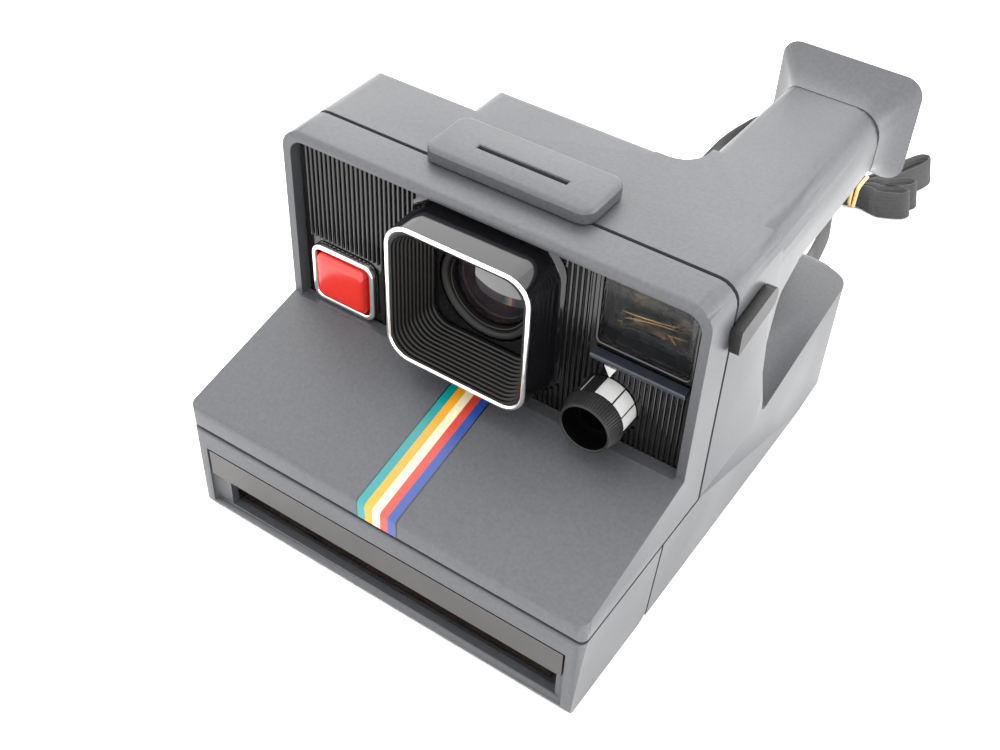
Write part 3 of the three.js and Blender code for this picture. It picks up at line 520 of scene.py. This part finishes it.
def soften(node, name, body, material, width_mm=0.5, min_edge_mm=1.2, corner_deg=28.0):
    """A copy of a CAD node whose outer convex edges are rounded. It stands for the node."""
    mesh = NODES[node].data.copy()
    mesh.materials.clear()
    bm = bmesh.new()
    bm.from_mesh(mesh)
    bmesh.ops.remove_doubles(bm, verts=bm.verts, dist=2e-6)
    bmesh.ops.dissolve_limit(bm, angle_limit=math.radians(0.6), verts=bm.verts, edges=bm.edges)
    tree = BVHTree.FromBMesh(bm)
    weight = bm.edges.layers.float.new("bevel_weight_edge")
    for edge in bm.edges:
        if (edge.is_manifold and edge.is_convex and edge.calc_face_angle(0.0) > math.radians(corner_deg)
                and edge.calc_length() > min_edge_mm * MM and outward(edge, tree)):
            edge[weight] = 1.0
    for face in bm.faces:
        face.material_index = 0
    bm.to_mesh(mesh)
    bm.free()
    mesh.materials.append(material)
    mesh.shade_smooth()
    mesh.set_sharp_from_angle(angle=math.radians(30))
    piece = bpy.data.objects.new(name, mesh)
    bpy.context.scene.collection.objects.link(piece)
    rounding = piece.modifiers.new("rounding", "BEVEL")
    rounding.limit_method = "WEIGHT"
    rounding.width = width_mm * MM
    rounding.segments = 3
    rounding.use_clamp_overlap = True
    rounding.harden_normals = True
    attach(piece, body)
    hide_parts(node)
    return piece


SOFTENED = [
    ("rear_housing", "camera_body", SHELL, "shell", 0.5),
    ("front_cover", "camera_body", SHELL, "shell", 0.5),
    ("film_door", "film_door", SHELL, "shell", 0.45),
    ("flash_socket", "camera_body", SHELL, "shell", 0.35),
    ("side_clip", "camera_body", MATTE_BLACK, "dark_rubber", 1.1),
    ("strap_lug_right", "camera_body", SHELL, "shell", 0.4),
    ("strap_lug_left", "camera_body", SHELL, "shell", 0.4),
    ("viewfinder_visor", "camera_body", VISOR, "gloss_black", 0.3),
    ("door_latch", "door_latch", MATTE_BLACK, "dark_rubber", 0.3),
]
for node, body, material, slot, width in SOFTENED:
    soften(node, node + "_skin", body, material, width)


# ---------------------------------------------------------------- foot of the mirror housing
FOOT_LOW, FOOT_HIGH, FOOT_THICK = 29.2, 35.4, 1.1
FOOT_HALF_X, FOOT_SLOPE = 39.90, 0.2056       # half width at the foot, and how the wall leans inwards
FOOT_FRONT, FOOT_REAR = 41.2, 94.6


def build_foot_wall(name, side):
    """The lowest part of the mirror housing's side wall, down to the deck. side is 1 or -1."""
    low_x, high_x = FOOT_HALF_X, FOOT_HALF_X - (FOOT_HIGH - FOOT_LOW) * FOOT_SLOPE
    corners = [(low_x - FOOT_THICK, FOOT_LOW), (low_x, FOOT_LOW), (high_x, FOOT_HIGH),
               (high_x - FOOT_THICK, FOOT_HIGH)]
    if side < 0:
        corners = [(-x, z) for x, z in reversed(corners)]
    rings = [(corners, FOOT_REAR), (corners, FOOT_FRONT)]
    return add_piece(name, *loft_y(rings), SHELL, "camera_body", "shell")


build_foot_wall("foot_wall_right", 1)
build_foot_wall("foot_wall_left", -1)


# ---------------------------------------------------------------- ribbed face
RIB_PITCH, RIB_HALF, RIB_RISE = 1.35, 0.5, 0.6
PAD_HALF, PAD_CORNER = 21.6, 9.0              # the smooth pad round the lens hood
DIAL_CLEAR = 7.9


def rib_gaps(x):
    """The heights (low, high) that a rib at x leaves free."""
    gaps = []
    if abs(x) < PAD_HALF:
        reach = PAD_HALF
        straight = PAD_HALF - PAD_CORNER
        if abs(x) > straight:
            reach = straight + math.sqrt(max(PAD_CORNER ** 2 - (abs(x) - straight) ** 2, 0.0))
        gaps.append((LENS_Z - reach, LENS_Z + reach))
    if abs(x - BUTTON_X) < 10.6:
        gaps.append((BUTTON_Z - 9.3, BUTTON_Z + 9.3))
    if abs(x - DIAL_X) < DIAL_CLEAR:
        reach = math.sqrt(DIAL_CLEAR ** 2 - (x - DIAL_X) ** 2)
        gaps.append((DIAL_Z - reach, DIAL_Z + reach))
    if 28.0 < x < 52.9:
        gaps.append((65.4, 90.0))
    return sorted(gaps)


def rib_runs(x):
    """The heights (low, high) between which a rib at x runs."""
    low, runs = FACE_FOOT, []
    for start, end in rib_gaps(x):
        if start - low > 1.0:
            runs.append((low, start))
        low = max(low, end)
    if FACE_TOP - low > 1.0:
        runs.append((low, FACE_TOP))
    return runs


def build_ribs():
    arc = [math.pi * k / 8 for k in range(9)]
    section = [(RIB_HALF * math.cos(a), RIB_RISE * math.sin(a)) for a in arc]
    parts = []
    count = int(52.4 / RIB_PITCH)
    for i in range(-count, count + 1):
        x = i * RIB_PITCH
        for low, high in rib_runs(x):
            verts = [(x + u, PLATE_Y + 0.02 - v, z) for z in (low, high) for u, v in section]
            n = len(section)
            faces = [(k, k + 1, n + k + 1, n + k) for k in range(n - 1)] + [(n - 1, 0, n, 2 * n - 1)]
            faces += [tuple(range(n)), tuple(range(n, 2 * n))]
            parts.append((verts, faces))
    return add_piece("face_ribs", *join(parts), FACE, "camera_body", "face", sharp_deg=60)


build_ribs()


# ---------------------------------------------------------------- lens hood, rim and lens
HOOD_STEPS = 12


def build_hood():
    """A straight square tube with a soft foot outside, stepped inwards like a bellows inside."""
    front, rear = RIM_Y + 0.35, PLATE_Y - 0.3
    rings = [(rounded_rect(0, LENS_Z, 19.0, 19.0, 6.4), front),
             (rounded_rect(0, LENS_Z, 19.3, 19.3, 6.6), front + 0.25)]
    for half, y in ((19.45, -4.0), (19.45, 0.4), (19.5, 1.4), (19.8, 2.2), (20.5, rear)):
        rings.append((rounded_rect(0, LENS_Z, half, half, 6.6), y))
    outside = len(rings)
    depth = (rear - front) / HOOD_STEPS
    for i in range(HOOD_STEPS):
        y = rear - depth * i
        half, radius = 13.9 + 0.33 * i, 4.8 + 0.1 * i
        for shift, grow in ((-0.1, 0.0), (-depth * 0.84, 0.0), (-depth * 0.98, 0.14)):
            rings.append((rounded_rect(0, LENS_Z, half + grow, half + grow, radius), y + shift))
    rings[-1] = (rounded_rect(0, LENS_Z, 18.1, 18.1, 5.9), front)
    verts, faces = loft_y(rings, closed=True)
    per_ring = len(rings[0][0])
    bands = [k // per_ring for k in range(len(faces))]
    picks = [0 if band < outside or band == len(rings) - 1 else 1 for band in bands]
    hood = add_piece("hood_stepped", verts, faces, [GLOSS, FUNNEL], "camera_body", "gloss_black",
                     sharp_deg=40, picks=picks)
    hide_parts("lens_hood")


def ring_piece(name, cx, cz, outer, inner, radius, y_front, y_rear, material, slot, edge=0.35):
    """A rectangular ring with round corners and rounded edges. outer and inner are half widths (x, z)."""
    inner_radius = radius - (outer[0] - inner[0])

    def outside(grow, y):
        return rounded_rect(cx, cz, outer[0] + grow, outer[1] + grow, max(radius + grow, 0.4)), y

    def inside(grow, y):
        return rounded_rect(cx, cz, inner[0] + grow, inner[1] + grow, max(inner_radius + grow, 0.4)), y

    rings = [outside(0, y_rear), outside(0, y_front + edge), outside(-edge * 0.3, y_front + edge * 0.3),
             outside(-edge, y_front), inside(edge, y_front), inside(edge * 0.3, y_front + edge * 0.3),
             inside(0, y_front + edge), inside(0, y_rear)]
    return add_piece(name, *loft_y(rings, closed=True), material, "camera_body", slot, sharp_deg=50)


def worn_chrome():
    """Bright trim with small worn nicks where the black plastic below shows."""
    material, tree, shader = new_material("chrome_worn", (0.86, 0.86, 0.85), 0.14, 1.0)
    ramp = tree.nodes.new("ShaderNodeValToRGB")
    ramp.color_ramp.elements[0].position = 0.27
    ramp.color_ramp.elements[0].color = (0.03, 0.03, 0.03, 1)
    ramp.color_ramp.elements[1].position = 0.31
    ramp.color_ramp.elements[1].color = (0.86, 0.86, 0.85, 1)
    tree.links.new(noise(tree, 2.2, 6.0), ramp.inputs["Fac"])
    tree.links.new(ramp.outputs["Color"], shader.inputs["Base Color"])
    spread_to(tree, noise(tree, 3.0, 4.0), 0.08, 0.22, shader.inputs["Roughness"])
    return material


def build_rim():
    rim = ring_piece("hood_rim_bright", 0, LENS_Z, (19.2, 19.2), (18.0, 18.0), 6.5, RIM_Y, RIM_Y + 0.7,
                     worn_chrome(), "chrome", edge=0.45)
    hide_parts("hood_rim")


# The turned cell that holds the lens: [radius, y] round its section.
CELL_SECTION = [(12.8, 9.3), (12.8, 3.3), (12.4, 2.9), (11.4, 2.9), (10.9, 3.2), (10.6, 4.0), (10.35, 4.1),
                (10.35, 8.4), (7.2, 8.4), (7.2, 9.3)]
LENS_RADIUS, LENS_EDGE_Y, LENS_BULGE = 9.9, 5.6, 1.9


def build_cell():
    cell = add_piece("lens_cell_ring", *turned_y(CELL_SECTION, 0, LENS_Z, 96), FUNNEL, "camera_body",
                     "gloss_black", sharp_deg=40)
    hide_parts("lens_cell")


def build_lens():
    """A strongly curved front glass."""
    steps = 14
    rings = [(circle(0, LENS_Z, LENS_RADIUS, 96), 8.0)]
    for k in range(steps + 1):
        r = LENS_RADIUS * (1 - k / steps) + 0.02
        rings.append((circle(0, LENS_Z, r, 96), LENS_EDGE_Y - LENS_BULGE * (1 - (r / LENS_RADIUS) ** 2)))
    lens = add_piece("front_lens", *loft_y(rings), LENS, "camera_body", "clear", sharp_deg=60)
    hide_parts("taking_lens")


build_hood()
build_rim()
build_cell()
build_lens()


# ---------------------------------------------------------------- shutter button
# The cap's front, from its skirt forward: how far each ring draws in, its corner radius and its y.
BUTTON_RINGS = [(0, 1.7, 5.55), (0, 1.7, 1.1), (0.12, 1.8, 0.5), (0.5, 2.0, 0.0), (1.1, 2.2, -0.28),
                (2.0, 2.2, -0.36), (4.2, 1.4, -0.38)]


def build_button():
    """The bright frame, and the red cap on its stem."""
    frame_ring = ring_piece("button_frame_bright", BUTTON_X, BUTTON_Z, (9.6, 8.4), (8.1, 6.95), 3.0, 0.9, 2.7,
                            CHROME, "chrome", edge=0.4)
    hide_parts("button_frame")
    stem = rounded_rect(BUTTON_X, BUTTON_Z, 2, 2, 1.9)
    rings = [(stem, 8.6), (stem, 5.6)]
    for drawn_in, radius, y in BUTTON_RINGS:
        rings.append((rounded_rect(BUTTON_X, BUTTON_Z, 7.5 - drawn_in, 6.5 - drawn_in, radius), y))
    cap = add_piece("button_cap", *loft_y(rings), RED, "shutter_button", "red", sharp_deg=60)
    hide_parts("shutter_button")


build_button()


# ---------------------------------------------------------------- exposure dial and its scale
KNURLS = 64


def build_dial():
    """The grip is a knurled cone with a thin wall round a bore, whose walls are painted shade: near black
    with no gloss.
    """
    count = KNURLS * 4

    def knurled(radius, depth):
        points = []
        for k in range(count):
            a = 2 * math.pi * k / count
            r = radius - depth * (1 if k % 4 in (0, 3) else 0)
            points.append((DIAL_X + r * math.cos(a), DIAL_Z + r * math.sin(a)))
        return points

    rings = [(knurled(7.5, 0.26), -3.3), (knurled(7.42, 0.26), -3.6), (knurled(6.6, 0.2), -7.1),
             (knurled(6.42, 0.1), -7.5), (circle(DIAL_X, DIAL_Z, 6.2, count), -7.7),
             (circle(DIAL_X, DIAL_Z, 5.95, count), -7.7), (circle(DIAL_X, DIAL_Z, 5.8, count), -7.5),
             (circle(DIAL_X, DIAL_Z, 5.8, count), -3.3)]
    verts, faces = loft_y(rings, closed=True)
    # The bore's walls are painted shade: they take the near-black, glossless material.
    shaded_bore_bands = (6, 7)
    picks = [1 if k // count in shaded_bore_bands else 0 for k in range(len(faces))]
    dial = add_piece("dial_knurled", verts, faces, [MATTE_BLACK, BORE_SHADE_BLACK], "exposure_dial", "dark_rubber",
                     sharp_deg=30, picks=picks)
    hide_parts("exposure_dial")


# Divisions of the scale, in degrees clockwise from the top as seen from the front.
WHITE_FROM, WHITE_TO, SCALE_LINES, WHITE_LINE = -6, 92, (31, 63), -36


def build_scale():
    """The barrel: white with dark divisions on one side, black with one white line on the other."""
    count = 240
    profile = [(7.2, -3.0), (7.2, 2.7), (5.0, 2.7), (5.0, 6.0), (3.6, 6.0), (3.6, -3.0)]
    verts, faces = loft_y([(circle(DIAL_X, DIAL_Z, r, count), y) for r, y in profile], closed=True)
    picks = []
    for i in range(len(profile)):
        for k in range(count):
            clockwise = 90 - 360 * (k + 0.5) / count
            clockwise = (clockwise + 180) % 360 - 180
            on_line = any(abs(clockwise - line) <= 1.6 for line in SCALE_LINES)
            white = WHITE_FROM < clockwise < WHITE_TO and not on_line
            white = white or abs(clockwise - WHITE_LINE) < 1.8
            # Faces inside the bore take the painted-shade black.
            picks.append((0 if white else 1) if i == 0 else 2)
    scale = add_piece("dial_scale", verts, faces, [WHITE, MATTE_BLACK, BORE_SHADE_BLACK], "exposure_dial", "white",
                      sharp_deg=30, picks=picks)
    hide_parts("exposure_scale")


def build_pointer():
    """The fixed mark over the scale."""
    top, tip = 63.9, 61.0
    front, rear = PLATE_Y - 0.85, PLATE_Y + 0.02
    corners = [(32.0, top), (35.0, top), (33.6, tip)]
    verts = [(x, y, z) for y in (front, rear) for x, z in corners]
    faces = [(0, 1, 2), (5, 4, 3), (0, 3, 4, 1), (1, 4, 5, 2), (2, 5, 3, 0)]
    add_piece("dial_pointer", verts, faces, WHITE, "camera_body", "white", smooth=False)


build_dial()
build_scale()
build_pointer()


# ---------------------------------------------------------------- viewfinder window and what shows inside it
WINDOW_X, WINDOW_Z = 40.6, 78.6


def painted_finder_glints():
    """Reflector with painted glints and shade: long streaks from near black to gold."""
    material, tree, shader = new_material("finder_painted_glints", (0.20, 0.13, 0.06), 0.30, 0.9)
    ramp = tree.nodes.new("ShaderNodeValToRGB")
    stops = ((0.36, (0.012, 0.009, 0.007)), (0.47, (0.09, 0.06, 0.035)), (0.56, (0.30, 0.20, 0.09)),
             (0.66, (0.55, 0.42, 0.24)))
    while len(ramp.color_ramp.elements) < len(stops):
        ramp.color_ramp.elements.new(0.5)
    for element, (place, color) in zip(ramp.color_ramp.elements, stops):
        element.position = place
        element.color = (*color, 1.0)
    tree.links.new(noise(tree, 3.4, 2.0, stretch=(0.45, 1.0, 1.6)), ramp.inputs["Fac"])
    tree.links.new(ramp.outputs["Color"], shader.inputs["Base Color"])
    spread_to(tree, noise(tree, 3.0, 1.0), 0.2, 0.4, shader.inputs["Roughness"])
    return material


def build_pane():
    ring_piece("finder_bezel", WINDOW_X, WINDOW_Z, (12.1, 9.95), (11.2, 9.2), 2.0, 2.55, 3.3, GLOSS,
               "gloss_black", edge=0.25)
    rings = [(rounded_rect(WINDOW_X, WINDOW_Z, 11.1, 9.1, 1.2), 3.5),
             (rounded_rect(WINDOW_X, WINDOW_Z, 11.1, 9.1, 1.2), 2.9),
             (rounded_rect(WINDOW_X, WINDOW_Z, 10.9, 8.9, 1.1), 2.7)]
    pane = add_piece("finder_pane", *loft_y(rings), FINDER, "camera_body", "clear", sharp_deg=40)
    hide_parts("viewfinder_front_lens")


def build_reflector():
    """A bowed and rippled sheet that rises to the rear behind the window."""
    columns, rows = 32, 20
    verts, faces = [], []
    for j in range(rows + 1):
        v = j / rows
        for i in range(columns + 1):
            u = i / columns
            bow = math.sin(math.pi * u)
            x = 30.9 + 17.8 * u
            y = 7.2 + 9.5 * v + 2.4 * bow * v
            z = 72.1 + 4.6 * v ** 1.3 + 0.9 * bow * (1 - v) + 0.7 * math.sin(7.0 * v + 2.4 * u)
            verts.append((x, y, z))
    base = len(verts)
    verts += [(x, y + 0.3, z - 0.5) for x, y, z in verts]
    stride = columns + 1
    for j in range(rows):
        for i in range(columns):
            a = j * stride + i
            faces.append((a, a + 1, a + stride + 1, a + stride))
            faces.append((base + a, base + a + stride, base + a + stride + 1, base + a + 1))
    rim_loop = list(range(stride)) + [j * stride + columns for j in range(1, rows + 1)]
    rim_loop += [rows * stride + i for i in range(columns - 1, -1, -1)]
    rim_loop += [j * stride for j in range(rows - 1, 0, -1)]
    for a, b in zip(rim_loop, rim_loop[1:] + rim_loop[:1]):
        faces.append((a, b, base + b, base + a))
    # The reflector's streaks are painted glints and painted shade.
    add_piece("finder_reflector", verts, faces, painted_finder_glints(), "camera_body", "brass", sharp_deg=60)


WIRE_RADIUS = 0.13


def build_wires():
    """Three thin bright arcs that hang across the reflector: height, reach and sag of each."""
    spans, ring = 20, 6
    around = [math.pi * k / 3 for k in range(ring)]
    arcs = []
    for height, reach, sag in ((74.4, 8.2, 1.6), (75.9, 6.6, 1.2), (77.6, 7.4, 2.2)):
        verts = []
        for i in range(spans + 1):
            a = math.pi * i / spans
            x = WINDOW_X - 0.8 + reach * math.cos(a)
            y = 7.0 + 2.0 * math.sin(a)
            z = height - sag * math.sin(a) + 1.2 * math.cos(a)
            verts += [(x + WIRE_RADIUS * math.cos(t), y, z + WIRE_RADIUS * math.sin(t)) for t in around]
        faces = []
        for i in range(spans):
            for k in range(ring):
                m = (k + 1) % ring
                faces.append((i * ring + k, i * ring + m, (i + 1) * ring + m, (i + 1) * ring + k))
        faces += [tuple(range(ring)), tuple(range(spans * ring, (spans + 1) * ring))]
        arcs.append((verts, faces))
    add_piece("finder_wires", *join(arcs), BRASS, "camera_body", "brass", sharp_deg=80)


build_pane()
build_reflector()
build_wires()


# ---------------------------------------------------------------- eyecup
CUP_BORE = (42.2, CHANNEL_Z, 8.9, 4.7)
CUP_TUBE = (29.25, 54.6, 74.7, 91.75)         # the tube's end: x from, to and z from, to
CUP_RIM = (22.4, 59.3, 68.4, 97.1)
TUBE_RADII, RIM_RADII = (6.8, 3.0, 3.0, 3.0), (5.0, 4.6, 4.6, 4.6)


def rounded_quad(box, radii, steps=8):
    """A rectangle (x0, x1, z0, z1) with its own radius at each corner: top right, top left, then below."""
    x0, x1, z0, z1 = box
    top_right, top_left, low_left, low_right = radii
    corners = [(x1 - top_right, z1 - top_right, top_right, 0), (x0 + top_left, z1 - top_left, top_left, 90),
               (x0 + low_left, z0 + low_left, low_left, 180),
               (x1 - low_right, z0 + low_right, low_right, 270)]
    points = []
    for cx, cz, radius, start in corners:
        for k in range(steps + 1):
            a = math.radians(start + 90 * k / steps)
            points.append((cx + radius * math.cos(a), cz + radius * math.sin(a)))
    return points


def build_eyecup():
    """A soft cup that grows out of the tube's own section and flares to its rim."""
    outer, count = [], 17
    for k in range(count):
        t = k / (count - 1)
        y = TUBE_REAR - 0.6 + (EYECUP_REAR - TUBE_REAR) * t
        grow = 1 - math.cos(t * math.pi / 2)
        box = [a + (b - a) * grow for a, b in zip(CUP_TUBE, CUP_RIM)]
        radii = [a + (b - a) * grow for a, b in zip(TUBE_RADII, RIM_RADII)]
        outer.append((rounded_quad(box, radii), y))
    points, last_y = outer[-1]
    middle = Vector((sum(p[0] for p in points) / len(points), sum(p[1] for p in points) / len(points)))

    def shrunk(mm):
        return [tuple(middle + (Vector(p) - middle) * (1 - mm / (Vector(p) - middle).length)) for p in points]

    rings = outer + [(shrunk(0.25), last_y + 0.4), (shrunk(0.9), EYECUP_REAR), (shrunk(2.0), EYECUP_REAR)]
    bore = rounded_rect(*CUP_BORE, 1.6)
    for t in (0.25, 0.5, 0.75, 1.0):
        reach, ease = math.sin(t * math.pi / 2), 1 - math.cos(t * math.pi / 2)
        mix = [(a[0] + (b[0] - a[0]) * reach, a[1] + (b[1] - a[1]) * reach)
               for a, b in zip(shrunk(2.6), bore)]
        rings.append((mix, EYECUP_REAR - 0.3 - 7.4 * ease))
    rings.append((bore, TUBE_REAR - 0.6))
    cup = add_piece("eyecup_flared", *loft_y(rings, closed=True), SHELL, "camera_body", "shell", sharp_deg=40)
    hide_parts("eyecup")


build_eyecup()


# ---------------------------------------------------------------- painted stripe over the shelf and its lip
STRIPE_X, STRIPE_BAND, STRIPE_OUTLINE = -4.3, 2.16, 0.3
OUTLINE_COLOR = (0.006, 0.006, 0.006)
STRIPE_COLORS = [("teal", (0, 0.15, 0.15)), ("amber", (0.465, 0.195, 0.0075)), ("cream", (0.465, 0.42, 0.27)),
                 ("brick", (0.315, 0.0263, 0.015)), ("navy", (0.009, 0.0338, 0.165))]
PAINT_OVER, PAINT_UNDER = 0.07, 0.05          # how far the paint stands over the shelf, and goes below


def stripe_profile():
    """The shelf's own side line, from under the hood to the foot of the lip."""
    slope = math.atan2(SHELF_REAR_Z - SHELF_LIP_Z, -SHELF_FRONT)
    points = [(-0.3, SHELF_REAR_Z - 0.3 * math.tan(slope))]
    steps, radius = 6, 1.2
    corner = Vector((SHELF_FRONT, SHELF_LIP_Z))
    along = Vector((math.cos(slope), math.sin(slope)))
    down = Vector((0.0, -1.0))
    half = math.acos(along.dot(down)) / 2
    centre = corner + (along + down).normalized() * (radius / math.sin(half))
    start = math.pi / 2 + slope
    for k in range(steps + 1):
        a = start + (math.pi - start) * k / steps
        points.append((centre.x + radius * math.cos(a), centre.y + radius * math.sin(a)))
    points.append((SHELF_FRONT, COVER_FOOT + 0.6))
    return points


def build_stripe():
    """Five bands of paint side by side, with a thin dark outline at each side."""
    line = stripe_profile()
    normals = []
    for i in range(len(line)):
        a, b = Vector(line[max(i - 1, 0)]), Vector(line[min(i + 1, len(line) - 1)])
        run = (b - a).normalized()
        normals.append(Vector((run.y, -run.x)))
    bands = [(STRIPE_X - STRIPE_OUTLINE, STRIPE_X, "outline", OUTLINE_COLOR)]
    for i, (name, color) in enumerate(STRIPE_COLORS):
        bands.append((STRIPE_X + i * STRIPE_BAND, STRIPE_X + (i + 1) * STRIPE_BAND, name, color))
    end = STRIPE_X + len(STRIPE_COLORS) * STRIPE_BAND
    bands.append((end, end + STRIPE_OUTLINE, "outline_right", OUTLINE_COLOR))
    parts, materials, picks = [], [], []
    for number, (x0, x1, name, color) in enumerate(bands):
        verts = []
        for (y, z), n in zip(line, normals):
            top_y, top_z = y + n.x * PAINT_OVER, z + n.y * PAINT_OVER
            low_y, low_z = y - n.x * PAINT_UNDER, z - n.y * PAINT_UNDER
            verts += [(x0, top_y, top_z), (x1, top_y, top_z), (x1, low_y, low_z), (x0, low_y, low_z)]
        faces = []
        for i in range(len(line) - 1):
            for k in range(4):
                m = (k + 1) % 4
                faces.append((i * 4 + k, i * 4 + m, i * 4 + 4 + m, i * 4 + 4 + k))
        last = (len(line) - 1) * 4
        faces += [(0, 1, 2, 3), (last, last + 1, last + 2, last + 3)]
        parts.append((verts, faces))
        picks += [number] * len(faces)
        materials.append(plastic("stripe_" + name, color, 0.3, grain_mm=0.5, depth_mm=0.01, tone=0.05))
    add_piece("shelf_stripe", *join(parts), materials, "camera_body", "gloss_black", sharp_deg=60,
              picks=picks)


build_stripe()


# ---------------------------------------------------------------- carried-over CAD nodes
CARRIED = {
    "face_plate": FACE, "light_sensor": CLEAR, "button_spring": STEEL, "viewfinder_tunnel": GLOSS,
    "viewfinder_eye_lens": CLEAR, "flash_contacts": GLOSS, "drive_motor": STEEL, "shutter_base": MATTE_BLACK,
    "shutter_solenoid": BRASS, "circuit_board": BOARD, "taking_mirror": MIRROR, "film_gate": MATTE_BLACK,
    "battery_contact_right": BRASS, "battery_contact_left": BRASS, "counter_window": CLEAR,
    "door_name_strip": STRIP, "exit_guide": STRIP,
    "roller_bracket_right": STEEL, "roller_bracket_left": STEEL,
    "hinge_pin_right": STEEL, "hinge_pin_left": STEEL, "lower_roller": STEEL, "upper_roller": STEEL,
    "roller_gear": ACETAL, "drive_gear": ACETAL, "transfer_gear": ACETAL, "reduction_gear": ACETAL,
    "motor_pinion": BRASS, "shutter_blade_right": MATTE_BLACK, "shutter_blade_left": MATTE_BLACK,
    "pick_arm": STEEL, "frame_counter": WHITE,
}
for node, material in CARRIED.items():
    mesh_materials = NODES[node].data.materials
    mesh_materials.clear()
    mesh_materials.append(material)
